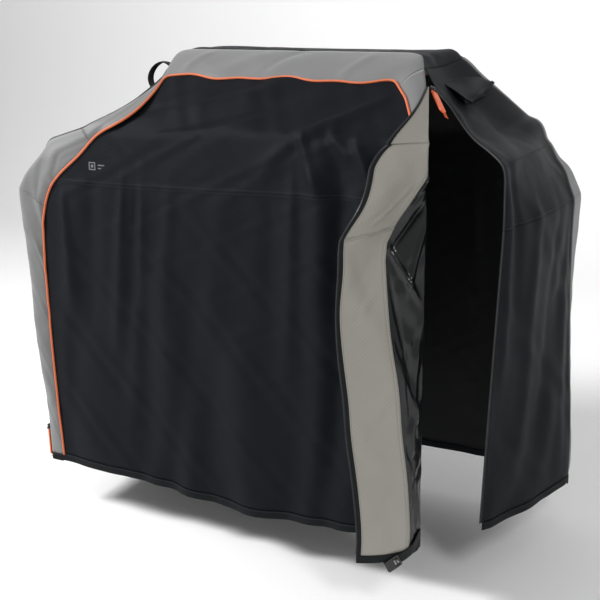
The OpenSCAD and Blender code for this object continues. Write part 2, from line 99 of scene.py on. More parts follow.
def bow(x):
    """Nought at 0 and at 1, and one half way."""
    return np.sin(math.pi * x)


def rows(points, counts, sigma=0.0):
    """A line through the points, counts[i] steps on each leg, its corners rounded over sigma samples."""
    p = np.array(points, float)
    out = [p[i] + (p[i + 1] - p[i]) * k / n for i, n in enumerate(counts) for k in range(n)]
    return soften(np.array(out + [p[-1]]), sigma)


def soften(out, sigma):
    if sigma <= 0:
        return out
    r = int(3 * sigma) + 1
    w = np.exp(-0.5 * (np.arange(-r, r + 1) / sigma) ** 2)
    w /= w.sum()
    before = 2 * out[0] - out[1:r + 1][::-1]
    after = 2 * out[-1] - out[-r - 1:-1][::-1]
    big = np.concatenate([before, out, after])
    return np.stack([np.convolve(big[:, k], w, "valid") for k in range(out.shape[1])], 1)


def run(line):
    """The distance along a line, at each of its points."""
    return np.concatenate([[0], np.cumsum(np.linalg.norm(np.diff(line, axis=0), axis=1))])


def sample(t, d, line):
    """The line's points at the distances t, where d is the distance at each of its own points."""
    return np.stack([np.interp(t, d, line[:, k]) for k in range(line.shape[1])], 1)


def spread(line, n):
    """The same line with n evenly spaced points."""
    line = np.array(line, float)
    d = run(line)
    t = np.linspace(0, d[-1], n)
    return sample(t, d, line)


def profile(points, sigma):
    leg = rows(points, [max(2, int(math.dist(points[i], points[i + 1]) / 0.002))
                        for i in range(len(points) - 1)], sigma)
    return leg[:, 1], leg[:, 0]


FRONT_H, FRONT_Y = profile([(FRONT, -0.1), (FRONT, CREASE), (BEND_Y, BEND_H), (TOP_FRONT, TOP)], 7)
REAR_H, REAR_Y = profile([(REAR, -0.1), (REAR, REAR_BEND), (TOP_REAR, TOP)], 8)


def y_front(h):
    return np.interp(h, FRONT_H, FRONT_Y)


def y_rear(h):
    return np.interp(h, REAR_H, REAR_Y)


def wave(*terms):
    """A soft wave of two values, made of sines: (amplitude, first frequency, second frequency, phase)."""
    def f(a, b):
        return sum(k * np.sin(p * a + q * b + r + 1.7 * np.sin(0.6 * q * b + 0.37 * p * a + 2 * r))
                   for k, p, q, r in terms)
    return f


def ridge(a, b, start, end, width, height, grow=1.0):
    """A soft fold along a line from start to end, with its height fading at both ends."""
    s, e = np.array(start, float), np.array(end, float)
    d = e - s
    t = ((a - s[0]) * d[0] + (b - s[1]) * d[1]) / (d @ d)
    off = ((a - s[0]) * d[1] - (b - s[1]) * d[0]) / math.sqrt(d @ d)
    w = width * (1 + (grow - 1) * np.clip(t, 0, 1))
    return height * np.exp(-(off / w) ** 2) * smooth(-0.12, 0.2, t) * (1 - smooth(0.75, 1.15, t))


def folded(amount, a, b, folds, share=1.0):
    """Adds the folds, each given as a ridge's start, end, width, height and growth."""
    for fold in folds:
        amount = amount + ridge(a, b, *fold) * share
    return amount


def between(a, b, share):
    """Rows of points from the line a to the line b, at the shares of the way across."""
    return a[:, None, :] + (b - a)[:, None, :] * share[None, :, None]


def sew(grid, reach, first, last=None):
    """Draws the grid's first row, and its last, onto the lines they are sewn to, fading over reach rows."""
    fade = (np.clip(1 - np.arange(len(grid)) / reach, 0, 1) ** 2)[:, None, None]
    moved = (first - grid[0])[None] * fade
    if last is not None:
        moved = moved + (last - grid[-1])[None] * fade[::-1]
    return grid + moved


# ---- materials
class Material:
    """A node material in short form: an input given as a socket is linked, and any other value is set."""

    def __init__(self, name, color, rough):
        self.made = bpy.data.materials.new(name)
        self.made.use_nodes = True
        self.nodes, self.links = self.made.node_tree.nodes, self.made.node_tree.links
        self.shader = self.nodes["Principled BSDF"]
        self.put(self.shader, {"Base Color": (*color, 1), "Roughness": rough})

    def put(self, node, values):
        for key, value in values.items():
            if isinstance(value, bpy.types.NodeSocket):
                self.links.new(value, node.inputs[key])
            else:
                node.inputs[key].default_value = value
        return node

    def node(self, kind, values):
        return self.put(self.nodes.new("ShaderNode" + kind), values).outputs[0]

    def maths(self, operation, *values):
        n = self.nodes.new("ShaderNodeMath")
        n.operation = operation
        return self.put(n, dict(enumerate(values))).outputs[0]


SHEEN_ROUGH = 0.45
RIP_YARNS, RIP_SHARP = 5, 12.0
ROUGH_RANGE = 0.07


def cloth(name, color, rough, pitch=0.0011, weave=0.35, sheen=0.25, coat=0.0, coat_rough=0.2, mottle=0.16,
          rip=0.0, slant=0.0, spec=0.4, vary=0.08, wrinkle=0.0):
    """Woven cloth. UVs are in metres, so pitch is the yarns' real spacing. rip adds a heavier grid."""
    m = Material(name, color, rough)
    m.put(m.shader, {"Specular IOR Level": spec, "Sheen Weight": sheen, "Sheen Roughness": SHEEN_ROUGH,
                     "Coat Weight": coat, "Coat Roughness": coat_rough})
    uv = m.node("UVMap", {})
    turned = m.node("Mapping", {"Vector": uv, "Rotation": (0, 0, slant)})
    split = m.nodes.new("ShaderNodeSeparateXYZ")
    m.put(split, {0: turned})

    def ripples(rate):
        return [m.maths("SINE", m.maths("MULTIPLY", split.outputs[k], rate)) for k in (0, 1)]
    height = m.maths("MULTIPLY", *ripples(math.pi / pitch))
    if rip:
        lines = [m.maths("POWER", m.maths("ABSOLUTE", s), RIP_SHARP)
                 for s in ripples(math.pi / (pitch * RIP_YARNS))]
        height = m.maths("MULTIPLY_ADD", m.maths("MAXIMUM", *lines), rip * 2, height)
    blotch = m.node("TexNoise", {"Vector": uv, "Scale": 14.0, "Detail": 5.0})
    fleck = m.node("TexNoise", {"Vector": uv, "Scale": 900.0, "Detail": 2.0})
    mixed = m.maths("MULTIPLY_ADD", fleck, 0.5, m.maths("MULTIPLY", blotch, 0.5))
    shade = m.node("MapRange", {"Value": mixed, "To Min": 1 - mottle, "To Max": 1 + mottle})
    tint = m.nodes.new("ShaderNodeMix")
    tint.data_type = "RGBA"
    tint.blend_type = "MULTIPLY"
    m.put(tint, {0: 1.0, 6: (*color, 1), 7: m.maths("MULTIPLY_ADD", height, vary, shade)})
    uneven = m.node("MapRange", {"Value": blotch, "To Min": max(0.05, rough - ROUGH_RANGE),
                                 "To Max": min(1, rough + ROUGH_RANGE)})
    relief = {"Strength": weave, "Distance": 0.0004, "Height": height}
    if wrinkle:
        creases = m.node("TexNoise", {"Vector": uv, "Scale": 22.0, "Detail": 4.0, "Distortion": 0.8})
        relief["Normal"] = m.node("Bump", {"Strength": 0.6, "Distance": wrinkle, "Height": creases})
    m.put(m.shader, {"Base Color": tint.outputs[2], "Roughness": uneven, "Normal": m.node("Bump", relief)})
    return m.made


def plain(name, color, rough, metal=0.0, coat=0.0, grain=0.0, grain_scale=600.0):
    m = Material(name, color, rough)
    m.put(m.shader, {"Metallic": metal, "Coat Weight": coat})
    if grain:
        spot = m.nodes.new("ShaderNodeTexCoord").outputs["Object"]
        noise = m.node("TexNoise", {"Vector": spot, "Scale": grain_scale})
        m.put(m.shader, {"Normal": m.node("Bump", {"Strength": grain, "Distance": 0.0002, "Height": noise})})
    return m.made


BLACK = cloth("black_cloth", (0.0078, 0.0091, 0.0114), 0.46, pitch=0.0010, sheen=0.0, spec=0.045,
              wrinkle=0.0016)
INSIDE = cloth("black_lining", (0.0050, 0.0056, 0.0066), 0.50, pitch=0.0010, weave=0.15, sheen=0.0, spec=0.22,
               mottle=0.1, wrinkle=0.002)
COATED = cloth("black_coated", (0.0045, 0.0052, 0.0062), 0.30, pitch=0.0010, weave=0.10, sheen=0.0, coat=0.55,
               coat_rough=0.11, spec=0.2, mottle=0.1, wrinkle=0.003)
GREY = cloth("grey_cloth", (0.146, 0.149, 0.147), 0.55, pitch=0.0010, weave=0.3, sheen=0.25, mottle=0.05,
             vary=0.04, wrinkle=0.0015)
TAUPE = cloth("taupe_coated", (0.292, 0.278, 0.244), 0.42, pitch=0.0016, weave=0.5, sheen=0.1, coat=0.12,
              coat_rough=0.35, mottle=0.06, rip=0.6, slant=0.785, vary=0.07, wrinkle=0.002)
CORD = cloth("piping", (0.60, 0.128, 0.040), 0.5, pitch=0.0008, weave=0.4, sheen=0.15, mottle=0.06)
TRIM = cloth("binding", (0.0105, 0.0120, 0.0130), 0.65, pitch=0.0012, weave=0.6, sheen=0.02, spec=0.12,
             vary=0.25)
HEMMED = cloth("hem_cloth", (0.0066, 0.0078, 0.0096), 0.55, pitch=0.0010, weave=0.4, sheen=0.0, spec=0.08,
               vary=0.10)
WEB = cloth("webbing", (0.0080, 0.0085, 0.0095), 0.55, pitch=0.0019, weave=0.9, sheen=0.04, spec=0.2,
            vary=0.4)
MESH = cloth("mesh", (0.0070, 0.0075, 0.0085), 0.6, pitch=0.0022, weave=1.0, sheen=0.0, spec=0.1, vary=0.5)
PULL = plain("pull", (0.80, 0.135, 0.030), 0.42, grain=0.35, grain_scale=900)
TEETH = plain("zip_teeth", (0.018, 0.018, 0.020), 0.38)
METAL = plain("slider", (0.03, 0.03, 0.032), 0.35, metal=0.6, grain=0.1)
BUCKLE = plain("buckle", (0.008, 0.008, 0.009), 0.36, coat=0.05, grain=0.25)
MARK = plain("mark", (0.13, 0.14, 0.15), 0.7, grain=0.2)
THREAD = plain("thread_dark", (0.015, 0.017, 0.020), 0.6)
THREAD_GREY = plain("thread_grey", (0.16, 0.155, 0.145), 0.6)


# ---- meshes
def mesh_object(name, verts, faces, mats, uvs=None, picks=None, shade=True):
    me = bpy.data.meshes.new(name)
    me.from_pydata([tuple(map(float, v)) for v in verts], [], faces)
    for m in mats:
        me.materials.append(m)
    if picks is not None:
        me.polygons.foreach_set("material_index", picks)
    if uvs is not None:
        layer = me.uv_layers.new(name="UVMap")
        layer.data.foreach_set("uv", np.array(uvs, np.float32).ravel())
    me.polygons.foreach_set("use_smooth", [shade] * len(me.polygons))
    me.update()
    o = bpy.data.objects.new(name, me)
    bpy.context.scene.collection.objects.link(o)
    return o


CROWN = 0.016


def crowned(h):
    """A height from the hem as a height in the frame, with the top fuller than the frame's flat one."""
    return h + HEM + CROWN * smooth(1.13, 1.21, h)


def world(x, y, h):
    """A point of the cloth, its height taken from the hem."""
    h = np.asarray(h, float)
    return np.stack(np.broadcast_arrays(x, y, crowned(h)), -1).astype(float)


def laid(q, wall):
    """Points given by x and height, laid on the front or the rear wall."""
    return world(q[..., 0], wall(q[..., 1]), q[..., 1])


def normals(grid):
    du = np.gradient(grid, axis=0)
    dv = np.gradient(grid, axis=1)
    n = np.cross(du, dv)
    return n / np.maximum(np.linalg.norm(n, axis=2, keepdims=True), 1e-9)


def push(grid, amount, out):
    """Moves the grid along its normals; out is a rough outward direction that settles their sign."""
    n = normals(grid)
    sign = np.sign((n.reshape(-1, 3).mean(0) * np.array(out)).sum())
    return grid + n * np.asarray(amount)[..., None] * (sign if sign else 1)


def spans(grid):
    """Arc lengths along the rows and columns, as cloth coordinates in metres."""
    u = np.concatenate([np.zeros((1, grid.shape[1])),
                        np.cumsum(np.linalg.norm(np.diff(grid, axis=0), axis=2), axis=0)])
    v = np.concatenate([np.zeros((grid.shape[0], 1)),
                        np.cumsum(np.linalg.norm(np.diff(grid, axis=1), axis=2), axis=1)], axis=1)
    return u, v


def sheet(name, grid, out, slot, outer, inner, body=None, bend=None, cut=None, held="draped", on=(), nodes=(),
          thick=CLOTH, declare=True, hug=0.0):
    """A sheet of cloth from a grid of points. Its outer face looks along out, and inner is its lining."""
    n = normals(grid).reshape(-1, 3)
    turned = float((n.mean(0) * np.array(out)).sum()) < 0
    nu, nv = grid.shape[:2]
    faces, uv = [], []
    u, v = spans(grid)
    for i in range(nu - 1):
        for j in range(nv - 1):
            f = [(i, j), (i + 1, j), (i + 1, j + 1), (i, j + 1)]
            if turned:
                f.reverse()
            faces.append([a * nv + b for a, b in f])
            uv += [(v[a, b], u[a, b]) for a, b in f]
    o = mesh_object(name, grid.reshape(-1, 3), faces, [outer, inner, outer], uv)
    s = o.modifiers.new("cloth", "SOLIDIFY")
    s.thickness = thick
    s.offset = -1 + hug
    s.material_offset = 1
    s.material_offset_rim = 2
    s.use_even_offset = False
    place(o, body, bend, nodes)
    if declare:
        width, length = float(v[:, -1].max()), float(u[-1].max())
        cut = cut or (round(width, 3), round(length, 3))
    return o


def rings(line, radius, sides=10):
    """A tube's points round a line, kept from twisting."""
    line = np.array(line, float)
    t = np.gradient(line, axis=0)
    t /= np.maximum(np.linalg.norm(t, axis=1, keepdims=True), 1e-12)
    up = np.array([0.31, 0.2, 0.93])
    out = []
    for k in range(len(line)):
        side = np.cross(t[k], up)
        if np.linalg.norm(side) < 1e-3:
            side = np.cross(t[k], [1.0, 0, 0])
        side /= np.linalg.norm(side)
        up = np.cross(side, t[k])
        for a in range(sides):
            c = 2 * math.pi * a / sides
            out.append(line[k] + radius * (math.cos(c) * side + math.sin(c) * up))
    return out


def tube(name, line, radius, mat, body=None, bend=None, nodes=(), sides=10):
    pts = rings(line, radius, sides)
    n = len(line)
    d = run(np.array(line))
    faces, uv = [], []
    girth = 2 * math.pi * radius
    for i in range(n - 1):
        for a in range(sides):
            b = (a + 1) % sides
            faces.append([i * sides + a, (i + 1) * sides + a, (i + 1) * sides + b, i * sides + b])
            u0, u1 = girth * a / sides, girth * (a + 1) / sides
            uv += [(u0, d[i]), (u0, d[i + 1]), (u1, d[i + 1]), (u1, d[i])]
    for start, turn in ((0, 0), ((n - 1) * sides, 1)):
        cap = [start + a for a in range(sides)]
        faces.append(cap[::-1] if turn else cap)
        uv += [(0, 0)] * sides
    o = mesh_object(name, pts, faces, [mat], uv)
    place(o, body, bend, nodes)
    return o


def place(o, body, bend=None, nodes=()):
    if nodes:
        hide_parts(*nodes)
    if bend:
        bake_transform(o)
    else:
        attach(o, body)


CUBE = [(-1, -1, -1), (1, -1, -1), (1, 1, -1), (-1, 1, -1), (-1, -1, 1), (1, -1, 1), (1, 1, 1), (-1, 1, 1)]
CUBE_F = [(0, 3, 2, 1), (4, 5, 6, 7), (0, 1, 5, 4), (1, 2, 6, 5), (2, 3, 7, 6), (3, 0, 4, 7)]


def blocks(name, centres, along, outward, size, mat, body=None, bend=None, nodes=(), taper=1.0):
    """Many small blocks in one mesh: stitches and zip teeth. size is half lengths along, across and out."""
    verts, faces = [], []
    for c, a, o in zip(centres, along, outward):
        a = a / np.linalg.norm(a)
        o = o - a * (o @ a)
        o = o / max(np.linalg.norm(o), 1e-9)
        s = np.cross(o, a)
        base = len(verts)
        for x, y, z in CUBE:
            k = taper if z > 0 else 1.0
            verts.append(c + a * x * size[0] * k + s * y * size[1] * k + o * z * size[2])
        faces += [[base + i for i in f] for f in CUBE_F]
    ob = mesh_object(name, verts, faces, [mat], shade=False)
    place(ob, body, bend, nodes)
    return ob


def stitches(name, line, outward, mat, body=None, bend=None, step=0.0062, lift=0.0004, length=0.0019,
             width=0.0005, slot="black_cloth"):
    line = np.array(line, float)
    outward = np.broadcast_to(np.array(outward, float), line.shape)
    d = run(line)
    t = np.arange(step / 2, d[-1], step)
    c = sample(t, d, line)
    o = sample(t, d, outward)
    a = sample(t + 0.001, d, line) - sample(t - 0.001, d, line)
    keep = np.linalg.norm(a, axis=1) > 1e-6
    c, o, a = c[keep], o[keep], a[keep]
    o = o / np.linalg.norm(o, axis=1, keepdims=True)
    return blocks(name, c + o * lift, a, o, (length, width, 0.00035), mat, body, bend, taper=0.7)


def edge_line(grid, u=None, v=None, inset=0.0):
    """A line on a sheet a set distance in from one of its edges, with the sheet's normals there."""
    n = normals(grid)
    if v is not None:
        g, m = (grid, n) if v == 0 else (grid[:, ::-1], n[:, ::-1])
    else:
        g, m = (grid.transpose(1, 0, 2), n.transpose(1, 0, 2)) if u == 0 else (grid[::-1].transpose(1, 0, 2),
            n[::-1].transpose(1, 0, 2))
    line, norm = [], []
    for r in range(g.shape[0]):
        d = run(g[r])
        x = min(inset, d[-1])
        line.append([np.interp(x, d, g[r][:, k]) for k in range(3)])
        norm.append([np.interp(x, d, m[r][:, k]) for k in range(3)])
    return np.array(line), np.array(norm)


def black(name, grid, out, body="cover", inner=INSIDE, **more):
    return sheet(name, grid, out, "black_cloth", BLACK, inner, body, **more)


def grey(name, grid, out, body="cover", **more):
    return sheet(name, grid, out, "grey_cloth", GREY, TAUPE, body, **more)


def trim(name, grid, out, body="cover", **more):
    return sheet(name, grid, out, "binding", TRIM, TRIM, body, declare=False, **more)


def webbing(name, grid, out, body, **more):
    return sheet(name, grid, out, "webbing", WEB, WEB, body, declare=False, **more)


def grey_stitches(name, line, outward, body=None, bend=None, **more):
    return stitches(name, line, outward, THREAD_GREY, body, bend, slot="grey_cloth", **more)


def mitre_stitches(name, seam, shift, outward, body=None, bend=None, **more):
    """Two rows of stitches, one below the mitred seam and one above it."""
    for letter, off in (("a", -STITCH_GAP), ("b", STITCH_GAP)):
        grey_stitches(f"{name}_{letter}", seam + np.array([*shift, off]), outward, body, bend, **more)


def toward(norm, out):
    out = np.array(out, float)
    s = np.sign((norm.mean(0) * out).sum()) or 1
    return norm * s


# ---- the lines that the cloth is cut along
def x_fold(h):
    return FOLD_HEM + (FOLD_CREASE - FOLD_HEM) * np.asarray(h, float) / CREASE


# Piping on the left, from the hem up to the hood's top: distance in from the end's outline, and height.
PIPE = rows([(HEM_X - 0.053, 0), (HALF - 0.067, 0.12), (HALF - 0.060, 0.226), (HALF - 0.052, 0.416),
             (HALF - 0.049, 0.633), (HALF - 0.050, 0.740), (HALF - 0.063, 0.806), (HALF - 0.087, 0.858),
             (HALF - 0.127, 0.899), (HALF - 0.183, 0.936), (HALF - 0.217, 0.966), (HALF - 0.247, 0.999),
             (HALF - 0.276, 1.020), (HALF - 0.317, CREASE - 0.004), (HALF - 0.361, 1.056),
             (TOP_X - 0.014, 1.108), (TOP_X - 0.016, 1.152)], [8] * 16, 5)


def x_pipe(h):
    return np.interp(h, PIPE[:, 1], PIPE[:, 0])


LEGS = [110, 26, 18, 6, 30, 8]
OUTLINE = rows([(HEM_X, 0), (HALF, SHOULDER), (SHELF_X, SHELF_H), (SIDE_X, SIDE_H), (SIDE_X - 0.0084, CREASE),
                (CORNER_X + 0.026, ZIP_H), (CORNER_X, CORNER_H)], LEGS, 1.6)
EDGES = np.cumsum([0] + LEGS)
# The left edge hangs slack: it sinks in between the hood and the shelf and stands out at the shelf's corner.
SUNK = rows([(HEM_X, 0), (HALF, SHOULDER), (SHELF_X - 0.016, SHELF_H - 0.006),
             (SIDE_X - 0.036, SIDE_H - 0.004), (SIDE_X - 0.058, CREASE), (CORNER_X - 0.044, ZIP_H - 0.006),
             (CORNER_X - 0.040, CORNER_H)], LEGS, 1.6)
hollow = np.clip((np.arange(len(SUNK)) - EDGES[4]) / (EDGES[5] - EDGES[4]), 0, 1)
SUNK -= np.array([0.72, 0.69]) * 0.012 * bow(hollow)[:, None]
inner_h = rows([(0, 0), (0.800, 0), (0.922, 0), (0.992, 0), (1.022, 0), (1.120, 0), (1.150, 0)], LEGS,
               4)[:, 0]
INNER = np.stack([x_pipe(inner_h), inner_h], 1)


def seam_h(x):
    """The height of the level seam across the front, which sags a little."""
    return SEAM_H + 0.012 * np.sin(2.6 * x)


def top_ripple(x):
    """The top piping isn't quite level."""
    return 0.0028 * np.sin(19 * x + 1) + 0.002 * np.sin(43 * x)


# ---- front panel
pan_h = np.concatenate([np.linspace(HEM_W * 0.8, 0.86, 96)[:-1], np.linspace(0.86, CREASE + 0.03, 34)[:-1],
                        np.linspace(CREASE + 0.03, PIPE_TOP, 26)])
right_h = np.array([0, 0.985, 1.010, CREASE, 1.075, 1.105, 1.130, 1.150, PIPE_TOP])
right_x = np.array([FOLD_HEM, x_fold(0.985), 0.466, 0.449, 0.430, 0.410, 0.385, 0.360, TOP_X - 0.018])
u = np.linspace(0, 1, 150)
fill = smooth(0, 0.06, u) * (1 - smooth(0.94, 1, u))
H, U = np.meshgrid(pan_h, u, indexing="ij")
X = -x_pipe(H) + (np.interp(H, right_h, right_x) + x_pipe(H)) * U
dip = -0.030 * np.exp(-((X + 0.02) / 0.30) ** 2) + 0.008 * smooth(0.2, 0.45, X)
H2 = H + dip * (1 - smooth(0.0, 0.45, H)) + top_ripple(X) * smooth(PIPE_TOP - 0.06, PIPE_TOP, H)
rise = 0.017 * (1 - smooth(-0.45, -0.02, X))
crease = smooth(0.80, 0.99, H) * (1 - smooth(1.06, 1.15, H)) * rise
Y = y_front(H2 + crease)
front = world(X, Y, H2)
below = 1 - smooth(0.86, 0.90, H)
soft = wave((1.0, 21, 3, 0.3), (0.7, 37, -5, 1.9), (0.5, 9, 12, 4.1))
fine = wave((1.0, 60, 44, 0.8), (0.7, -47, 71, 2.2))
drape = 0.0035 * soft(X, H) * below * (0.35 + 0.9 * smooth(0.75, 0.0, H)) + 0.0007 * fine(X, H)
drape = folded(drape, X, H, [((-0.606, 0.86), (-0.590, 0.50), 0.014, 0.0075, 2.0),
    ((-0.395, 0.885), (-0.440, 0.36), 0.012, 0.0075, 2.6),
    ((-0.350, 0.87), (-0.375, 0.52), 0.010, -0.0055, 2.0),
    ((-0.330, 0.885), (-0.400, 0.10), 0.016, 0.0062, 2.4),
    ((-0.238, 0.89), (-0.300, 0.30), 0.020, 0.0048, 2.0),
    ((-0.500, 0.88), (-0.530, 0.42), 0.022, -0.0045, 1.6), ((0.132, 0.94), (0.118, 0.38), 0.014, 0.0055, 2.2),
    ((0.070, 0.90), (0.060, 0.45), 0.022, -0.0035, 1.8), ((0.205, 1.03), (0.222, 0.22), 0.030, 0.0130, 2.2),
    ((0.262, 0.98), (0.262, 0.10), 0.024, -0.0085, 2.0), ((0.330, 1.02), (0.310, 0.15), 0.030, 0.0090, 1.6),
    ((0.420, 1.00), (0.400, 0.55), 0.030, -0.0100, 1.4), ((-0.02, 0.50), (-0.03, 0.0), 0.060, 0.0060, 1.4),
    ((-0.16, 0.42), (-0.17, 0.0), 0.050, -0.0055, 1.3)])
up = smooth(1.0, 1.04, H)
drape = folded(drape, X, H, [((-0.40, 1.035), (0.05, 1.150), 0.013, 0.0085, 1.6),
    ((-0.30, 1.030), (0.12, 1.110), 0.011, -0.0060, 1.8), ((-0.10, 1.045), (0.20, 1.135), 0.016, 0.0065, 1.4),
    ((0.153, 1.035), (0.340, 1.125), 0.012, 0.0095, 1.3), ((0.20, 1.045), (0.36, 1.075), 0.014, -0.0060, 1.3),
    ((-0.33, 1.09), (-0.16, 1.120), 0.014, 0.0040, 1.5)], 0.35 + 0.65 * up)
drape = folded(drape, X, H, [((0.153, 1.050), (0.205, 0.90), 0.014, 0.0100, 1.6),
    ((0.225, 1.06), (0.300, 0.985), 0.013, 0.0090, 1.5), ((0.153, 1.050), (0.030, 0.93), 0.014, 0.0040, 1.8),
    ((0.300, 1.045), (0.370, 0.900), 0.014, 0.0095, 1.4)])
drape = drape + 0.0016 * np.exp(-((H - seam_h(X)) / 0.0032) ** 2)
front = push(front, 1.3 * drape * fill, (0, -1, 0))
black("front_panel", front, (0, -1, 0.1), nodes=("front_panel_lower", "front_panel_middle",
    "front_panel_upper"), on=["grill hood"])
seam_line = []
for j in range(front.shape[1]):
    k = seam_h(X[0, j])
    seam_line.append([np.interp(k + 0.005, H[:, j], front[:, j, c]) for c in range(3)])
seam_line = np.array(seam_line)
stitches("seam_stitch_upper", seam_line, (0, -1, 0), THREAD, "cover")
stitches("seam_stitch_lower", seam_line - np.array([0, 0, 0.010]), (0, -1, 0), THREAD, "cover")


# ---- edges that wrap round a corner
def wrapped(edge, toward_xy, a, R, x_sign=1, rear=False):
    """Points at distance a in from the outline, going round the corner of radius R onto the gusset."""
    edge, a = np.asarray(edge)[:, None, :], np.asarray(a)
    inn = np.asarray(toward_xy)[:, None, :]
    t = (R - a) / R
    ang = np.clip(t, 0, math.pi / 2)
    d = np.where(t > 0, R - R * np.sin(ang), a)
    depth = np.where(t > 0, R - R * np.cos(ang), 0) + np.maximum(t - math.pi / 2, 0) * R
    p = edge + inn * d[..., None]
    y = (y_rear(p[..., 1]) - depth) if rear else (y_front(p[..., 1]) + depth)
    return world(x_sign * p[..., 0], y, p[..., 1])


def inward(edge, inner):
    d = inner - edge
    n = np.linalg.norm(d, axis=1)
    return d / n[:, None], n


R_FRONT, R_REAR = 0.012, 0.018
inn, span = inward(SUNK, INNER)
w = np.linspace(0, 1, 26)
stop = R_FRONT * 0.13
A = stop + (span[:, None] - stop) * w[None, :]
band = wrapped(SUNK, inn, A, R_FRONT, x_sign=-1)
hh = SUNK[:, 1][:, None] + 0 * A
puff = (0.008 * bow(np.clip(A / span[:, None], 0, 1)) ** 0.9 * (1 - smooth(0.99, 1.06, hh))
        * smooth(0.0, 0.25, hh + 0.1))
wr = wave((0.0009, 31, 17, 0.4), (0.0007, -23, 41, 1.2), (0.0005, 70, 55, 3.0))
puff = puff + wr(A * 3, hh) * bow(np.clip(A / span[:, None], 0, 1)) ** 0.5
puff = folded(puff, A, hh, [((0.05, 0.86), (0.10, 0.70), 0.010, 0.003),
    ((0.02, 0.74), (0.07, 0.62), 0.009, 0.0024), ((0.06, 0.93), (0.12, 0.90), 0.008, 0.0026),
    ((0.02, 0.55), (0.07, 0.47), 0.012, -0.002), ((0.01, 0.30), (0.06, 0.12), 0.012, 0.0022)])
band = push(band, puff, (-0.2, -1, 0))
# The band's edge bulges out over the zip as a soft lip, fullest at the shelf's corner.
lip = 0.024 * smooth(0.12, 0.45, hh) * (0.62 + 0.38 * smooth(0.60, 0.84, hh)) * (1 - smooth(0.88, 0.985, hh))
lip = lip * np.exp(-((A - 0.010) / 0.020) ** 2) * smooth(-0.005, 0.008, A)
band += lip[..., None] * np.array([-1.0, -0.45, 0])
e = EDGES
cuts = [("band_left_drop", e[0] + 2, e[1], ("front_band_left_drop",)),
        ("band_left_shoulder", e[1], e[3], ("front_band_left_shoulder",)),
        ("band_left_hood", e[3], e[6], ("front_band_left_hood",))]
for name, i0, i1, reps in cuts:
    grey(name, band[i0:i1 + 1], (-0.2, -1, 0.1), nodes=reps, on=["grill shelf"])
for k in (e[1], e[3]):
    mitre_stitches(f"mitre_stitch_{k}", band[k], (0, -0.0012), (-0.2, -1, 0.1), "cover")
line, norm = edge_line(band, v=-1, inset=0.006)
grey_stitches("band_left_stitch", line[2:], toward(norm[2:], (-0.2, -1, 0.1)), "cover")

# Left zip: tape round the corner, teeth and the gusset's edge.
zip_end = e[5]
a_tape = np.linspace(stop, -R_FRONT * 0.57 - 0.006, 10)
tape = wrapped(SUNK, inn, np.broadcast_to(a_tape, (len(SUNK), 10)), R_FRONT, x_sign=-1)
tape_out = (-1, -0.3, 0.2)
trim("left_zip_tape_cloth", tape[3:zip_end + 1], tape_out, nodes=("left_zip_tape",), thick=0.0009)


def zip_teeth(name, line, norm, body, bend=None, nodes=(), pitch=0.0035, width=0.0022):
    d = run(line)
    t = np.arange(pitch, d[-1], pitch)
    c, o = sample(t, d, line), sample(t, d, norm)
    a = sample(t + 0.001, d, line) - sample(t - 0.001, d, line)
    o = o / np.linalg.norm(o, axis=1, keepdims=True)
    return blocks(name, c + o * 0.0008, a, o, (0.0011, width, 0.0008), TEETH, body, bend, nodes,
                  taper=0.8)


a_teeth = wrapped(SUNK, inn, np.full((len(SUNK), 1), R_FRONT - R_FRONT * 1.2), R_FRONT, x_sign=-1)[:, 0]
zip_teeth("left_zip_tooth_row", a_teeth[3:zip_end + 1],
          np.broadcast_to(np.array([-0.93, -0.36, 0.0]), a_teeth[3:zip_end + 1].shape), "cover",
          nodes=("left_zip_teeth",))

# ---- band along the hood's top and right
n_top = [8, 8, 90, 8, 8]
top_edge = rows([(-SUNK[-1, 0], CORNER_H), (-TOP_X - 0.006, TOP - 0.008), (-TOP_X + 0.02, TOP),
                 (TOP_X - 0.02, TOP), (TOP_X + 0.012, TOP - 0.006), (CORNER_X, CORNER_H)], n_top, 2)
rear_edge = top_edge.copy()
rear_edge[:, 0] -= (CORNER_X - SUNK[-1, 0]) * (1 - smooth(-CORNER_X, -TOP_X + 0.04, top_edge[:, 0]))
top_low = rows([(-(TOP_X - 0.016), 1.150), (-(TOP_X - 0.020), 1.157), (-(TOP_X - 0.030), PIPE_TOP),
                (TOP_X - 0.030, PIPE_TOP), (TOP_X - 0.020, 1.157), (TOP_X - 0.010, 1.150)], n_top, 2)
top_low[:, 1] += top_ripple(top_low[:, 0])
w = np.linspace(0, 1, 18)
q = between(top_low, top_edge, w)
band_top = laid(q, y_front)
ww = w[None, :] + 0 * q[..., 0]
lift = (0.005 * bow(ww) + 0.0016 * wave((1, 17, 20, 0), (0.8, -29, 33, 2))(q[..., 0], ww * 0.12)
        * bow(ww) ** 0.5)
lift = folded(lift, q[..., 0], ww * 0.12, [((-0.30, 0.012), (-0.24, 0.108), 0.012, 0.003),
    ((-0.05, 0.024), (0.03, 0.12), 0.014, -0.003), ((0.18, 0.012), (0.25, 0.108), 0.013, 0.0032)])
band_top = push(band_top, lift, (0, -1, 1))
top_wave = 0.003 * np.sin(16 * top_edge[:, 0] + 0.5) + 0.002 * np.sin(37 * top_edge[:, 0] + 2)
band_top[:, :, 1] += top_wave[:, None] * ww ** 2
join = spread(band[-1][np.searchsorted(A[-1], 0.002):][::-1], band_top.shape[1])
band_top = sew(band_top, 14, join)
grey("band_top", band_top, (0, -1, 1), nodes=("front_band_top",), on=["grill hood"])
n_r = [6, 14, 14, 10]
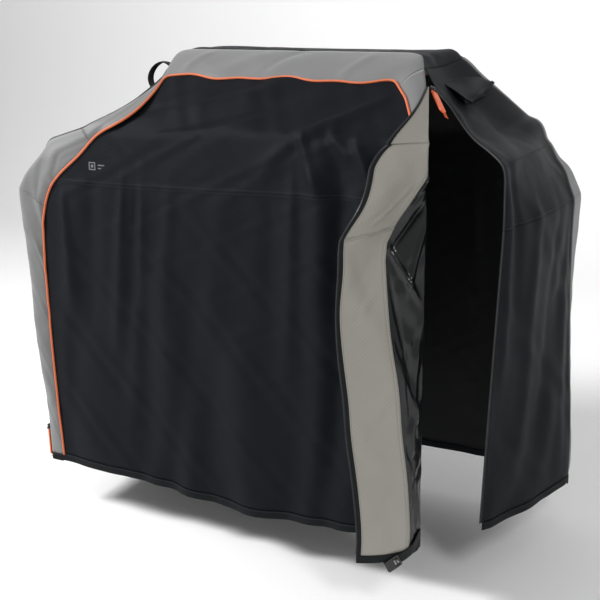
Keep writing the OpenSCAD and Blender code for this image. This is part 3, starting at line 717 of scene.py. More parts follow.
r_out = rows([(CORNER_X, CORNER_H), (CORNER_X + 0.022, ZIP_H + 0.002), (0.4505, 1.100),
              (FOLD_CREASE + 0.001, CREASE), (FOLD_CREASE + 0.002, 0.990)], n_r, 1.5)
r_in = rows([(TOP_X - 0.010, 1.150), (0.385, 1.130), (0.424, 1.085), (0.449, CREASE), (0.476, 0.992)], n_r,
            1.5)
w = np.linspace(0, 1, 12)
q = between(r_in, r_out, w)
band_right = push(laid(q, y_front), 0.004 * bow(w)[None, :] + 0 * q[..., 0], (0, -1, 1))
band_right = sew(band_right, 16, spread(band_top[-1], band_right.shape[1]))
grey("band_right_hood", band_right, (0, -1, 1), nodes=("front_band_right_hood",), on=["grill hood"])

# ---- piping, as one cord sewn along the panel
def piping(side, parts, count, facing, lean):
    """A cord sewn along the wall's panel. It stands out from the wall, and upwards by lean on the slope."""
    pipe = soften(spread(np.concatenate(parts), count), 2.0)
    out = np.zeros_like(pipe)
    out[:, 1] = facing
    out[:, 2] = smooth(1.0, 1.06, pipe[:, 2] - HEM) * lean
    out /= np.linalg.norm(out, axis=1, keepdims=True)
    tube(f"{side}_piping_cord", pipe + out * 0.0016, CORD_R, CORD, "cover",
         nodes=(f"{side}_piping",))


piping("front", [band[2:, -1], band_top[1:, 0], band_right[1:, 0]], 520, -1, 1.1)

# ---- hem binding of the front
def binding(name, line, drop, body, bend=None, nodes=(), out=(0, -1, 0), mat=None):
    """A folded tape over the raw edge: a sheet down from the line, thicker than the cloth it holds."""
    k = np.linspace(0, 1, 5)
    grid = np.asarray(line)[:, None, :] + np.asarray(drop, float)[None, None, :] * k[None, :, None]
    mat = mat or HEMMED
    return sheet(name, grid, out, "binding", mat, mat, body, bend, nodes=nodes, thick=0.0026, hug=1.0,
                 declare=False)


def hem(side, line, out, nodes, body="cover", bend=None):
    """A binding along the hem, with its row of stitches."""
    binding(f"{side}_hem_tape", line, (0, 0, -HEM_W), body, bend, nodes=nodes, out=out)
    stitches(f"{side}_hem_stitch", line + np.array(out) * 0.0014 + np.array([0, 0, -0.003]), out, THREAD,
             body, bend)


hem("front", spread(np.concatenate([band[2][:-1], front[0]]), 160), (0, -1, 0), ("front_hem",))


def flare_out(h):
    """How far the right rear hem stands out."""
    return 0.046 * (1 - smooth(0.0, 0.62, h))


def flare_drop(h):
    """How far the right rear hem hangs lower for standing out."""
    return 0.020 * (1 - smooth(0.0, 0.45, h))


def fuller(grid):
    """The cloth over the hood's right rear stands fuller than the frame, and its shelf corner is rounder."""
    x, y, h = grid[..., 0], grid[..., 1], grid[..., 2] - HEM
    back = smooth(0.02, 0.24, y) * smooth(0.90, 0.96, h)
    stand = 0.034 * smooth(0.335, 0.42, x) * (1 - smooth(0.575, 0.665, x)) * back
    round_off = 0.020 * np.exp(-((x - SHELF_X) / 0.042) ** 2) * back
    return (grid + stand[..., None] * np.array([0.62, 0, 0.78]) - round_off[..., None]
            * np.array([0.9, 0, 0.42]))


# ---- gusset, a strip from hem to hem
DEEP_REAR = 0.032
cols = np.linspace(0, 1, 56)


turn_in = np.full((len(OUTLINE), 1), -R_FRONT * 0.57 - 0.006)
left_front = wrapped(SUNK, inn, turn_in, R_FRONT, x_sign=-1)[:, 0]
taut_front = wrapped(OUTLINE, inn, turn_in, R_FRONT, x_sign=-1)[:, 0]
left_rear = world(-OUTLINE[:, 0], y_rear(OUTLINE[:, 1]) - DEEP_REAR, OUTLINE[:, 1])
g = (between(taut_front, left_rear, cols) + (left_front - taut_front)[:, None, :]
     * (1 - smooth(0.0, 0.34, cols))[None, :, None])
gy, gh = g[..., 1], g[..., 2] - HEM
edge = smooth(0, 0.05, cols) * (1 - smooth(0.95, 1, cols))
sag = wave((0.004, 9, 4, 0.6), (0.0025, 21, -7, 2.0), (0.0012, 45, 30, 0.9))(gy, gh)
d = (sag * (1 - 0.6 * smooth(0.8, 1.0, gh)) + 0.004 * bow(cols)[None, :] * (gh < 0.9)) * edge[None, :]
d = folded(d, gy, gh, [((-0.20, 0.84), (-0.16, 0.20), 0.016, 0.006, 2.2),
                       ((-0.02, 0.84), (0.00, 0.10), 0.020, -0.006, 2.2),
                       ((0.12, 0.84), (0.13, 0.05), 0.022, 0.007, 2.0)], edge[None, :])
g = push(g, d, (-1, 0, 0.1))
left_g = g
black("gusset_left_end_cloth", g[e[0] + 2:e[1] + 1], (-1, 0, 0), nodes=("gusset_left_end",),
      on=["grill shelf"])
black("gusset_left_shelf_cloth", g[e[1]:e[3] + 1], (-1, 0, 1),
      nodes=("gusset_left_shoulder", "gusset_left_shelf"), on=["grill shelf"])
top_out = rows([(CORNER_X, CORNER_H), (TOP_X + 0.012, TOP - 0.006), (TOP_X - 0.02, TOP),
                (-(TOP_X - 0.02), TOP), (-(TOP_X + 0.012), TOP - 0.006), (-CORNER_X, CORNER_H)],
               [8, 8, 60, 8, 8], 2)
top_in = top_out.copy()
top_in[:, 0] += (CORNER_X - SUNK[-1, 0]) * smooth(TOP_X - 0.05, CORNER_X, -top_out[:, 0])


black("gusset_left_hood_cloth", g[e[3]:], (-1, 0, 1), nodes=("gusset_left_hood",), on=["grill hood"])
# Right side. Its front edge is free while the zip is open, and sags in behind the flap.
free = rows([(HEM_X - 0.084, -0.205, 0.020), (HEM_X - 0.052, -0.292, 0.430),
             (HALF - 0.058, FRONT + 0.002, SHOULDER), (SHELF_X + 0.012, FRONT + 0.002, SHELF_H + 0.001),
             (SIDE_X + 0.060, -0.256, 1.023), (SIDE_X + 0.008, -0.208, CREASE), (0.520, -0.162, 1.072),
             (0.478, -0.132, 1.116), (0.440, -0.142, 1.152), (CORNER_X, -0.099, CORNER_H)],
            [55, 55, 26, 12, 6 + 6, 8, 8, 8, 8], 3)
keys = np.array([0, 55, 110, 136, 148, 160, 168, 176, 184, 192])
marks = np.array([0, 55, EDGES[1], EDGES[2], EDGES[2] + 10, EDGES[3] + 1, EDGES[4] + 8, EDGES[4] + 18,
                  EDGES[5] + 1, EDGES[6]])
free = sample(np.interp(np.arange(len(OUTLINE)), marks, keys), np.arange(len(free)), free)
free = soften(free, 2.0)
free[:, 2] = crowned(free[:, 2])
right_rear = world(OUTLINE[:, 0], y_rear(OUTLINE[:, 1]) - DEEP_REAR, OUTLINE[:, 1])
right_rear[:, 0] += flare_out(OUTLINE[:, 1])
right_rear[:, 2] -= flare_drop(OUTLINE[:, 1])


def drawn(h):
    """How far the rear band reaches round the right end's corner, fullest at the shelf."""
    return 0.072 * smooth(0.50, 0.84, h) * (1 - smooth(0.86, 1.0, h))


right_rear[:, 1] -= drawn(OUTLINE[:, 1])
g = between(free, right_rear, cols)
gy, gh = g[..., 1], g[..., 2] - HEM
tt = np.broadcast_to(cols[None, :], gy.shape)
loose = smooth(0.0, 0.10, tt) * (1 - smooth(0.94, 1, tt))
d = (0.010 * bow(tt) * (1 - smooth(0.80, 0.99, gh))
     + wave((0.0045, 8, 3, 1.6), (0.003, 19, -6, 0.3), (0.0012, 41, 33, 1.9))(gy, gh)
     * (1 - 0.65 * smooth(0.85, 1.0, gh))) * loose
d = folded(d, gy, gh, [((-0.285, 1.00), (-0.235, 0.45), 0.014, 0.0085, 2.4),
                       ((-0.245, 0.99), (-0.165, 0.55), 0.014, -0.0060, 2.2),
                       ((-0.10, 0.90), (-0.08, 0.10), 0.024, 0.0065, 1.8),
                       ((0.06, 0.86), (0.03, 0.05), 0.026, -0.0060, 1.8),
                       ((0.18, 0.86), (0.19, 0.0), 0.022, 0.0060, 1.8)], loose)
d = folded(d, gy, gh, [((-0.10, 1.10), (-0.27, 1.01), 0.014, 0.006, 1.3),
                       ((-0.02, 1.13), (-0.16, 1.04), 0.016, -0.005, 1.3),
                       ((0.02, 1.06), (-0.24, 0.985), 0.016, 0.006, 1.3)], loose)
g = fuller(push(g, d, (1, 0, 0.1)))
right_g = g
tf = laid(top_in, y_front)
tf[:, 1] += np.interp(top_in[:, 0], top_edge[:, 0], top_wave)
tr = laid(top_out, y_rear)
gt = between(tf, tr, cols)
gt = fuller(push(gt, (0.0035 * bow(cols)[None, :]
                      + wave((0.0016, 13, 25, 0.4), (0.001, 31, -40, 1))(gt[..., 0], gt[..., 1]))
                 * edge[None, :], (0, 0, 1)))
gt = sew(gt, 12, right_g[-1], left_g[-1])
black("gusset_top_cloth", gt, (0, 0, 1), nodes=("gusset_top",), on=["grill hood"])

tape_grid = []
for r in range(g.shape[0]):
    dd = run(g[r])
    x = np.linspace(0, TAPE, 5)
    tape_grid.append(sample(x, dd, g[r]))
    x = np.linspace(TAPE * 0.9, dd[-1], g.shape[1])
    g[r] = sample(x, dd, g[r])
tape_grid = np.array(tape_grid)
fold_dir = np.array([0, -SHOULDER, -0.5495])
fold_dir = fold_dir / np.linalg.norm(fold_dir)
fold_from = np.array([HALF, 0.250, HEM])
END_BEND = ("cover", "end_flap", tuple(fold_from - fold_dir * 0.012), tuple(fold_from + fold_dir * 0.05))
black("gusset_right_end_cloth", g[e[0] + 3:e[1] + 1], (1, 0, 0), bend=END_BEND,
      nodes=("gusset_right_end", "end_flap_panel"), held="hung", on=["grill shelf"])
black("gusset_right_shoulder_cloth", g[e[1]:e[2] + 1], (1, 0, 1), nodes=("gusset_right_shoulder",),
      on=["grill shelf"])
black("gusset_right_hood_cloth", g[e[2]:], (1, 0, 1), nodes=("gusset_right_shelf", "gusset_right_hood"),
      on=["grill hood"])
trim("right_zip_tape_cloth", tape_grid[e[1]:e[5] + 2], (1, 0, 1), nodes=("right_zip_tape",), thick=0.0014)
trim("end_zip_tape_cloth", tape_grid[e[0] + 3:e[1] + 1], (1, 0, 0), bend=END_BEND,
     nodes=("end_flap_zip_tape",), thick=0.0014)
tooth_line = tape_grid[:, 0]
tooth_norm = toward(normals(tape_grid)[:, 0], (1, 0, 0.5))
zip_teeth("right_zip_tooth_row", tooth_line[e[1]:e[5] + 2], tooth_norm[e[1]:e[5] + 2] * 0.4, "cover")
zip_teeth("end_zip_tooth_row", tooth_line[e[0] + 3:e[1] + 1], tooth_norm[e[0] + 3:e[1] + 1], None, END_BEND)
line, norm = edge_line(g, v=0, inset=0.004)
norm = toward(norm, (1, 0, 0.5))
stitches("right_edge_stitch", line[e[1]:e[5]], norm[e[1]:e[5]], THREAD, "cover")
stitches("end_edge_stitch", line[e[0] + 3:e[1] + 1], norm[e[0] + 3:e[1] + 1], THREAD, None, END_BEND)
for k in (e[1], e[2]):
    stitches(f"gusset_seam_stitch_{k}", g[k] + np.array([0.0012, 0, 0.003]), (1, 0, 0.4), THREAD, "cover")

# ---- rear wall
rin, rspan = inward(OUTLINE, INNER)
stop = R_REAR * (1 - math.pi / 2) - (DEEP_REAR - R_REAR)
w = np.linspace(0, 1, 26)
A = stop + (rspan[:, None] - stop) * w[None, :]
hh = OUTLINE[:, 1][:, None] + 0 * A
rear_rows = {}
for side, name in ((-1, "left"), (1, "right")):
    b = wrapped(OUTLINE, rin, A, R_REAR, x_sign=side, rear=True)
    pf = (0.006 * bow(np.clip(A / rspan[:, None], 0, 1)) * (1 - smooth(0.97, 1.03, hh)) + wr(A * 3 + side, hh)
          * bow(np.clip(w[None, :], 0, 1)) ** 0.5)
    b = push(b, pf, (0.2 * side, 1, 0))
    if side > 0:
        b[..., 0] += flare_out(hh) * (1 - smooth(0.3, 1.0, w))
        b[..., 2] -= flare_drop(hh) * (1 - smooth(0.3, 1.0, w))
        b[..., 1] -= drawn(hh) * (1 - smooth(stop, -0.006, A))
        b = fuller(b)
    rear_rows[name] = b
    grey(f"rear_band_{name}_cloth", b[2:EDGES[3] + 1], (0.2 * side, 1, 0), nodes=(f"rear_band_{name}",),
         held="hung", on=["grill shelf"])
    grey(f"rear_band_{name}_hood_cloth", b[EDGES[3]:], (0.2 * side, 1, 0.5),
         nodes=(f"rear_band_{name}_hood",), on=["grill hood"])
    mitre_stitches(f"rear_mitre_stitch_{name}", b[EDGES[1]], (0, 0.0012), (0.1 * side, 1, 0.1), "cover")
q = between(top_low, rear_edge, np.linspace(0, 1, 14))
rt = fuller(laid(q, y_rear))
ends = [spread(rear_rows[k][-1][::-1], rt.shape[1]) for k in ("left", "right")]
rt = sew(rt, 14, *ends)
grey("rear_band_top_cloth", rt, (0, 1, 1), nodes=("rear_band_top",), on=["grill hood"])
rh = np.concatenate([np.linspace(HEM_W * 0.8, 0.86, 84)[:-1], np.linspace(0.86, PIPE_TOP, 40)])
u = np.linspace(0, 1, 130)
H, U = np.meshgrid(rh, u, indexing="ij")
X = -x_pipe(H) + 2 * x_pipe(H) * U
H = H + top_ripple(X) * smooth(PIPE_TOP - 0.06, PIPE_TOP, H)
rear = world(X, y_rear(H), H)
fill = smooth(0, 0.06, u) * (1 - smooth(0.94, 1, u))
below = 1 - smooth(0.84, 0.90, H)
drape = (0.005 * wave((1, 17, 3, 0.9), (0.7, 33, -4, 2.9), (0.6, 8, 9, 1.1))(X, H) * below
         * (0.35 + 0.9 * smooth(0.75, 0, H)) + 0.0008 * fine(X, H))
drape = folded(drape, X, H, [((-0.35, 0.87), (-0.38, 0.2), 0.016, 0.007, 2.3),
    ((0.10, 0.87), (0.14, 0.1), 0.018, 0.007, 2.3), ((0.42, 0.88), (0.46, 0.3), 0.014, -0.006, 2),
    ((-0.05, 1.0), (0.2, 1.1), 0.014, 0.006, 1.4)])
drape = 0.7 * drape + 0.0016 * np.exp(-((H - SEAM_H) / 0.0032) ** 2)
rear = fuller(push(rear, drape * fill, (0, 1, 0)))
black("rear_panel", rear, (0, 1, 0.1), nodes=("rear_panel_lower", "rear_panel_middle", "rear_panel_upper"),
      held="hung", on=["grill hood"])
for off in (0.005, -0.005):
    k = int(np.argmin(abs(rh - SEAM_H - off)))
    stitches(f"rear_seam_stitch_{'a' if off > 0 else 'b'}", rear[k], (0, 1, 0), THREAD, "cover")
b1, b2 = rear_rows["left"], rear_rows["right"]
piping("rear", [b1[2:, -1], rt[1:-1, 0], b2[2:, -1][::-1]], 620, 1, 0.8)
rear_line = np.concatenate([b1[2][:-1], rear[0], b2[2][::-1][1:]])
hem("rear", spread(rear_line, 170), (0, 1, 0), ("rear_hem",))
binding("left_end_hem_tape", spread(np.concatenate([tape[3][:-1], left_g[2]]), 60), (0, 0, -HEM_W), "cover",
        nodes=("end_hems",), out=(-1, 0, 0))
hem("right_end", spread(right_g[3], 70), (1, 0, 0), ("end_flap_hem",), None, END_BEND)


# ---- flap, folded open
flap_h = np.concatenate([np.linspace(HEM_W * 0.8, 0.78, 88)[:-1], np.linspace(0.78, CREASE, 46)])
out_h = np.array([0, SHOULDER, SHELF_H, SIDE_H, CREASE])
out_x = np.array([HEM_X, HALF, SHELF_X - 0.010, SIDE_X + 0.056, SIDE_X + 0.044])


def flap_width(h):
    return np.interp(h, out_h, out_x) - x_fold(h)


def flap_seam(h):
    """Distance from the fold to the band's inner seam."""
    return np.interp(h, [0, 0.770, 0.815, 0.860, 0.975], [0.077, 0.108, 0.104, 0.082, 0.0])


FOLD_R = 0.0055
STEP = 0.0015


def flap_rows(hs, foot, width, seam, first, second, soft=0.030, extra=None):
    """The flap's cross-sections: out of the wall, round the fold, along the black part, along the band."""
    table = []
    for k, h in enumerate(hs):
        n = int(width[k] / STEP) + 12
        a = np.arange(n) * STEP
        p1, p2 = math.radians(first[k]), math.radians(second[k])
        arc = np.clip(a / (FOLD_R * (math.pi - p1)), 0, 1) * (math.pi - p1)
        head = arc + (p1 - p2) * smooth(seam[k] - soft, seam[k] + soft, a)
        if extra is not None:
            head = head + extra(a, h)
        x = foot[k][0] + np.concatenate([[0], np.cumsum(np.cos(head[:-1]) * STEP)])
        y = foot[k][1] - np.concatenate([[0], np.cumsum(np.sin(head[:-1]) * STEP)])
        table.append((a, x, y))
    return table


def flap_point(table, hs, k, a, drop):
    aa, x, y = table[k]
    return np.interp(a, aa, x), np.interp(a, aa, y), hs[k] - drop * a


def angle_first(h):
    return 95 + (33 - 95) * smooth(0.02, 0.80, h) + 10 * smooth(0.93, 1.03, h)


def angle_second(h):
    return 33 + (60 - 33) * smooth(0.25, 0.84, h) - 14 * smooth(0.90, 1.03, h)


buckle = wave((0.16, 22, 9, 0.2), (0.12, -35, 13, 1.4), (0.08, 60, -22, 2.8))
W = flap_width(flap_h)
S = flap_seam(flap_h)
foot = [(float(x_fold(h)), float(y_front(h))) for h in flap_h]
table = flap_rows(flap_h, foot, W + 0.02, S, angle_first(flap_h), angle_second(flap_h),
                  extra=lambda a, h: buckle(a, h) * smooth(0.01, 0.05, a) * 0.9)
sagdrop = 0.10 * smooth(0.30, 0.86, flap_h) * (1 - smooth(0.93, 1.03, flap_h)) - 0.02


def flap_cloth(table, hs, drops, a_from, a_to, n):
    """The flap's surface between two distances from the fold, one cross-section for each of the drops."""
    g = []
    for k, drop in enumerate(drops):
        x, y, h = flap_point(table, hs, k, np.linspace(a_from[k], a_to[k], n), drop)
        g.append(np.stack([x, y, h + HEM], 1))
    return np.array(g)


FLAP_BEND = ("cover", "flap", (0, FRONT - 0.0005, 0), (0, FRONT - 0.0125, 0))
last_black = int(np.searchsorted(flap_h, 0.972))
INN = (0.9, -0.3, 0)
FLAP_OUT = (-0.9, 0.3, 0)
flap_black = flap_cloth(table, flap_h, sagdrop[:last_black], 0 * S, S, 44)
flap_band = flap_cloth(table, flap_h, sagdrop, S, W - 0.010, 40)
flap_tape = flap_cloth(table, flap_h, sagdrop, W - 0.011, W + 0.002, 6)


def crumple(grid, amount, fold_list=()):
    a = np.broadcast_to(np.linspace(0, 1, grid.shape[1])[None, :], grid.shape[:2])
    h = grid[..., 2] - HEM
    width = np.linalg.norm(grid[:, -1] - grid[:, 0], axis=1)[:, None]
    d = amount * wave((1.0, 3.1, 19, 0.4), (0.8, -5.2, 31, 1.3), (0.5, 8.0, 57, 2.4))(a, h) * bow(a) ** 0.7
    return push(grid, folded(d, a * width, h, fold_list, bow(a) ** 0.5), INN)


flap_black = crumple(flap_black, 0.0022, [((0.108, 0.83), (0.022, 0.66), 0.0055, 0.0120),
    ((0.100, 0.78), (0.045, 0.46), 0.0060, -0.0100), ((0.112, 0.73), (0.070, 0.40), 0.0060, 0.0110),
    ((0.012, 0.95), (0.085, 0.85), 0.0055, 0.0090), ((0.008, 0.90), (0.088, 0.78), 0.0060, -0.0090),
    ((0.012, 0.84), (0.050, 0.68), 0.0050, 0.0080), ((0.02, 0.58), (0.070, 0.20), 0.0080, 0.0095),
    ((0.090, 0.54), (0.020, 0.30), 0.0070, 0.0085), ((0.075, 0.32), (0.02, 0.08), 0.0080, -0.008),
    ((0.055, 0.24), (0.040, 0.06), 0.0060, 0.007)])
flap_band = crumple(flap_band, 0.0010, [((0.02, 0.70), (0.11, 0.60), 0.010, 0.0035),
    ((0.02, 0.45), (0.10, 0.30), 0.014, -0.0035), ((0.03, 0.94), (0.09, 0.86), 0.010, 0.004),
    ((0.01, 0.86), (0.12, 0.82), 0.006, 0.0035), ((0.03, 0.22), (0.09, 0.08), 0.014, 0.004)])
black("flap_panel_cloth", flap_black, FLAP_OUT, inner=COATED, bend=FLAP_BEND, nodes=("flap_panel",),
      held="folded", on=["cover"])
mitre = int(np.argmin(abs(flap_h - SHOULDER)))
grey("flap_band_drop_cloth", flap_band[:mitre + 1], FLAP_OUT, bend=FLAP_BEND, nodes=("flap_band_drop",),
     held="folded", on=["cover"])
grey("flap_band_shoulder_cloth", flap_band[mitre:], FLAP_OUT, bend=FLAP_BEND,
     nodes=("flap_band_shoulder", "flap_band_shelf"), held="folded", on=["cover"])
trim("flap_zip_tape_cloth", flap_tape, FLAP_OUT, bend=FLAP_BEND, nodes=("flap_zip_tape",), thick=0.0014,
     hug=1.0)
zip_teeth("flap_zip_tooth_row", flap_tape[:, -1], toward(normals(flap_tape)[:, -1], INN), None, FLAP_BEND)
cord_line = soften(flap_band[:last_black - 2, 0].copy(), 1.5)
cord_norm = toward(normals(flap_band)[:last_black - 2, 0], FLAP_OUT)
tube("flap_piping_cord", spread(cord_line + cord_norm * 0.003, 260), CORD_R, CORD, bend=FLAP_BEND,
     nodes=("flap_piping",))
for name, inset in (("a", 0.003), ("b", 0.010)):
    line, norm = edge_line(flap_band, v=0, inset=inset)
    grey_stitches(f"flap_seam_stitch_{name}", line[:last_black + 4], toward(norm[:last_black + 4], INN), None,
                  FLAP_BEND, lift=0.0016)
line, norm = edge_line(flap_band, v=-1, inset=0.003)
grey_stitches("flap_tape_stitch", line, toward(norm, INN), None, FLAP_BEND, lift=0.0016)
mitre_stitches("flap_mitre_stitch", flap_band[mitre], (0.0010, -0.0005), INN, None, FLAP_BEND, lift=0.0012)
hem_f = np.concatenate([flap_black[0][:-1], flap_band[0][:-1], flap_tape[0]])
binding("flap_hem_tape", spread(hem_f, 70), (0, 0, -HEM_W), None, FLAP_BEND, nodes=("flap_hem",),
        out=FLAP_OUT, mat=TRIM)

# Upper part of the flap, above the crease.
up_h = np.linspace(CREASE, ZIP_H - 0.002, 34)
fx = FOLD_CREASE + (FOLD_TOP + 0.006 - FOLD_CREASE) * (up_h - CREASE) / (ZIP_H - CREASE)
foot_up = [(float(x), float(y_front(h))) for x, h in zip(fx, up_h)]
wide_up = W[-1] + (0.016 - W[-1]) * (up_h - CREASE) / (ZIP_H - CREASE)
t_up = (up_h - CREASE) / (ZIP_H - CREASE)
first_up = angle_first(CREASE) + 34 * smooth(0, 1, t_up)
second_up = angle_second(CREASE) + 34 * smooth(0, 1, t_up)
table_up = flap_rows(up_h, foot_up, wide_up + 0.02, 0 * up_h, first_up, second_up, extra=lambda a,
                     h: buckle(a, h) * smooth(0.01, 0.05, a) * 0.5)
drop_up = np.full(len(up_h), sagdrop[-1])
up_band = flap_cloth(table_up, up_h, drop_up, 0 * up_h, wide_up - 0.0085 * (1 - 0.4 * t_up), 30)
up_tape = flap_cloth(table_up, up_h, drop_up, wide_up - 0.0095 * (1 - 0.4 * t_up), wide_up + 0.002, 6)
grey("flap_top_band_cloth", up_band, (-0.9, 0.3, 0.3), "flap_top", nodes=("flap_top_band",), held="folded",
     on=["cover"], thick=0.0009)
trim("flap_top_tape_cloth", up_tape, (-0.9, 0.3, 0.3), "flap_top", nodes=("flap_top_zip_tape",), thick=0.0014,
     hug=1.0)
zip_teeth("flap_top_zip_tooth_row", up_tape[:, -1], toward(normals(up_tape)[:, -1], INN), "flap_top")
line, norm = edge_line(up_band, v=-1, inset=0.003)
grey_stitches("flap_top_tape_stitch", line, toward(norm, INN), "flap_top", lift=0.0014)


# ---- vent over its mesh, on the right hood side
SLOPE = np.array([SIDE_X - CORNER_X, 0, -(CORNER_H - SIDE_H)])
SLOPE /= np.linalg.norm(SLOPE)
OUTWARD = np.array([-SLOPE[2], 0, SLOPE[0]])
CORNER = np.array([CORNER_X, 0, CORNER_H + HEM])


def on_slope(s, y, lift, side=1):
    p = CORNER + np.multiply.outer(s, SLOPE) + np.multiply.outer(lift, OUTWARD)
    p[..., 1] = y
    p[..., 0] *= side
    return p


vb0, vb1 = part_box("vent_flap")
hinge_s = float((np.array([vb0.x, 0, vb1.z]) - CORNER) @ SLOPE)
vs, vy = np.meshgrid(np.linspace(0, 1, 36), np.linspace(0, 1, 60), indexing="ij")
v_edge = 0.128 - 0.030 * vy
open_up = (0.74 + 0.26 * smooth(0.0, 0.30, vy)) * (1 - 0.15 * smooth(0.9, 1.0, vy))
under = 0.016 * smooth(0.2, 1.0, vy)
rise_v = 0.0035 + under + open_up * (0.028 * vs ** 1.3 + 0.003 * bow(vs))
rise_v = rise_v + 0.0018 * np.sin(11 * vy + 4 * vs) * vs
vent = on_slope(hinge_s - 0.004 + (v_edge - hinge_s + 0.004) * vs,
                vb0.y - 0.008 + (vb1.y - vb0.y + 0.034) * vy, rise_v)
black("vent_hood_cloth", vent, tuple(OUTWARD), "vent", nodes=("vent_flap",), held="hung", on=["cover"])
line = vent[-1]
k = np.linspace(0, 1, 4)
rim = (line[:, None, :] + (-OUTWARD * 0.002 - SLOPE * 0.010)[None, None, :] * k[None, :, None] + OUTWARD
       * 0.0018)
sheet("vent_rim_tape", rim, tuple(OUTWARD), "binding", HEMMED, HEMMED, "vent", thick=0.0016, declare=False,
      hug=1.0)
for nm, inset in (("a", 0.012), ("b", 0.017)):
    line, norm = edge_line(vent, u=-1, inset=inset)
    stitches(f"vent_stitch_{nm}", line, toward(norm, OUTWARD), THREAD, "vent", lift=0.001)
line, norm = edge_line(vent, u=0, inset=0.003)
stitches("vent_hinge_stitch", line, toward(norm, OUTWARD), THREAD, "vent", lift=0.001)

mb0, mb1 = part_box("vent_mesh")
ms, my = np.meshgrid(np.linspace(0.058, 0.114, 10), np.linspace(mb0.y - 0.006, mb1.y + 0.006, 30),
                     indexing="ij")
net = on_slope(ms, my, 0.0042 + 0.014 * smooth(mb0.y, mb1.y, my))
sheet("vent_mesh_net", net, tuple(OUTWARD), "mesh", MESH, MESH, "cover", nodes=("vent_mesh",), thick=0.0006,
      declare=False)

# ---- carry loop of webbing on the left hood side
def boxed(x0, x1, y0, y1):
    """The corners that a box stitch runs through, round its sides and across."""
    return [(x0, y0), (x1, y0), (x1, y1), (x0, y1), (x0, y0), (x1, y1)]


lb0, lb1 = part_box("carry_loop")
loop_y, loop_w = (lb0.y + lb1.y) / 2, lb1.y - lb0.y
s0, s1 = 0.014, 0.110
ang = np.linspace(0, math.pi, 50)
loop_s = (s0 + s1) / 2 - (s1 - s0) / 2 * np.cos(ang) * (1 + 0.10 * np.sin(ang) ** 2)
loop_up = 0.004 + 0.050 * np.sin(ang) ** 0.85
wy = np.linspace(-0.5, 0.5, 9)
loop = np.stack([on_slope(loop_s, loop_y + loop_w * t, loop_up + 0.0015 * math.cos(4 * t), side=-1)
                 for t in wy], 1)
webbing("carry_loop_web", loop, (-0.7, 0, 0.7), "loop", nodes=("carry_loop",), thick=0.0024)
for nm, s in (("upper", s0), ("lower", s1)):
    ps, py = np.meshgrid(np.linspace(s - 0.017, s + 0.017, 6),
                         np.linspace(-loop_w / 2 - 0.003, loop_w / 2 + 0.003, 6), indexing="ij")
    patch = on_slope(ps, loop_y + py, 0.0034 + 0 * ps, side=-1)
    webbing(f"loop_patch_{nm}", patch, (-0.7, 0, 0.7), "cover",
            nodes=("loop_anchors",) if nm == "upper" else (), thick=0.0018)
    c = [on_slope(np.array(s + a), loop_y + b, np.array(0.0042), side=-1)
         for a, b in boxed(-0.013, 0.013, -0.011, 0.011)]
    stitches(f"loop_box_stitch_{nm}", spread(np.array(c), 60), (-0.69, 0, 0.72), THREAD_GREY, "cover",
             step=0.0035, length=0.0012, slot="webbing")

# ---- plain mark, sliders, pulls, straps
for node, mat in (("plain_mark", MARK), ("left_slider", METAL), ("right_slider", METAL), ("left_pull", PULL),
                  ("right_pull", PULL), ("rear_buckle", BUCKLE)):
    o = frame["nodes"][node]
    o.data.materials.clear()
    o.data.materials.append(mat)
    if node != "plain_mark":
        b = o.modifiers.new("soft_edges", "BEVEL")
        b.width = 0.0009 if "slider" in node else 0.0016
        b.segments = 3
        b.limit_method = "ANGLE"
        b.harden_normals = True


def box_of(node):
    a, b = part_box(node)
    return np.array(a), np.array(b)


def pull_ribs(name, node, body):
    """Moulded grip bars on the outer face of a pull."""
    o = frame["nodes"][node]
    co = np.array([v.co for v in o.data.vertices], float)
    c = co.mean(0)
    q = np.linalg.svd(co - c, full_matrices=False)[2]
    along, across, out = q
    view = np.array([1, -0.4, 0.4]) if "right" in node else np.array([-1, 0, 0])
    if out @ view < 0:
        out = -out
    half = [np.abs((co - c) @ k).max() for k in q]
    places = [c + along * half[0] * t + out * half[2] for t in np.linspace(-0.35, 0.62, 9)]
    blocks(name, places, [across] * 9, [out] * 9, (half[1] * 0.66, 0.0011, 0.0006), PULL, body,
           taper=0.8)


for pull in ("right_pull", "left_pull"):
    pull_ribs(f"{pull}_ribs", pull, pull)


def ring(name, centre, normal, radius, wire, body):
    n = np.array(normal, float)
    n /= np.linalg.norm(n)
    a = np.cross(n, [0.3, 0.9, 0.1])
    a /= np.linalg.norm(a)
    b = np.cross(n, a)
    t = np.linspace(0, 2 * math.pi, 33)
    line = np.array(centre)[None] + radius * (np.cos(t)[:, None] * a + np.sin(t)[:, None] * b)
    tube(name, line, wire, METAL, body, sides=8)


for side in ("right", "left"):
    a, b = box_of(f"{side}_slider")
    pa, pb = box_of(f"{side}_pull")
    s_mid, p_mid = (a + b) / 2, (pa + pb) / 2
    d = p_mid - s_mid
    d /= np.linalg.norm(d)
    facing = OUTWARD if side == "right" else np.array([-1.0, 0, 0])
    ring(f"{side}_pull_ring", s_mid + d * 0.0085 + facing * 0.0050, np.cross(d, facing), 0.0042, 0.0009,
         f"{side}_pull")

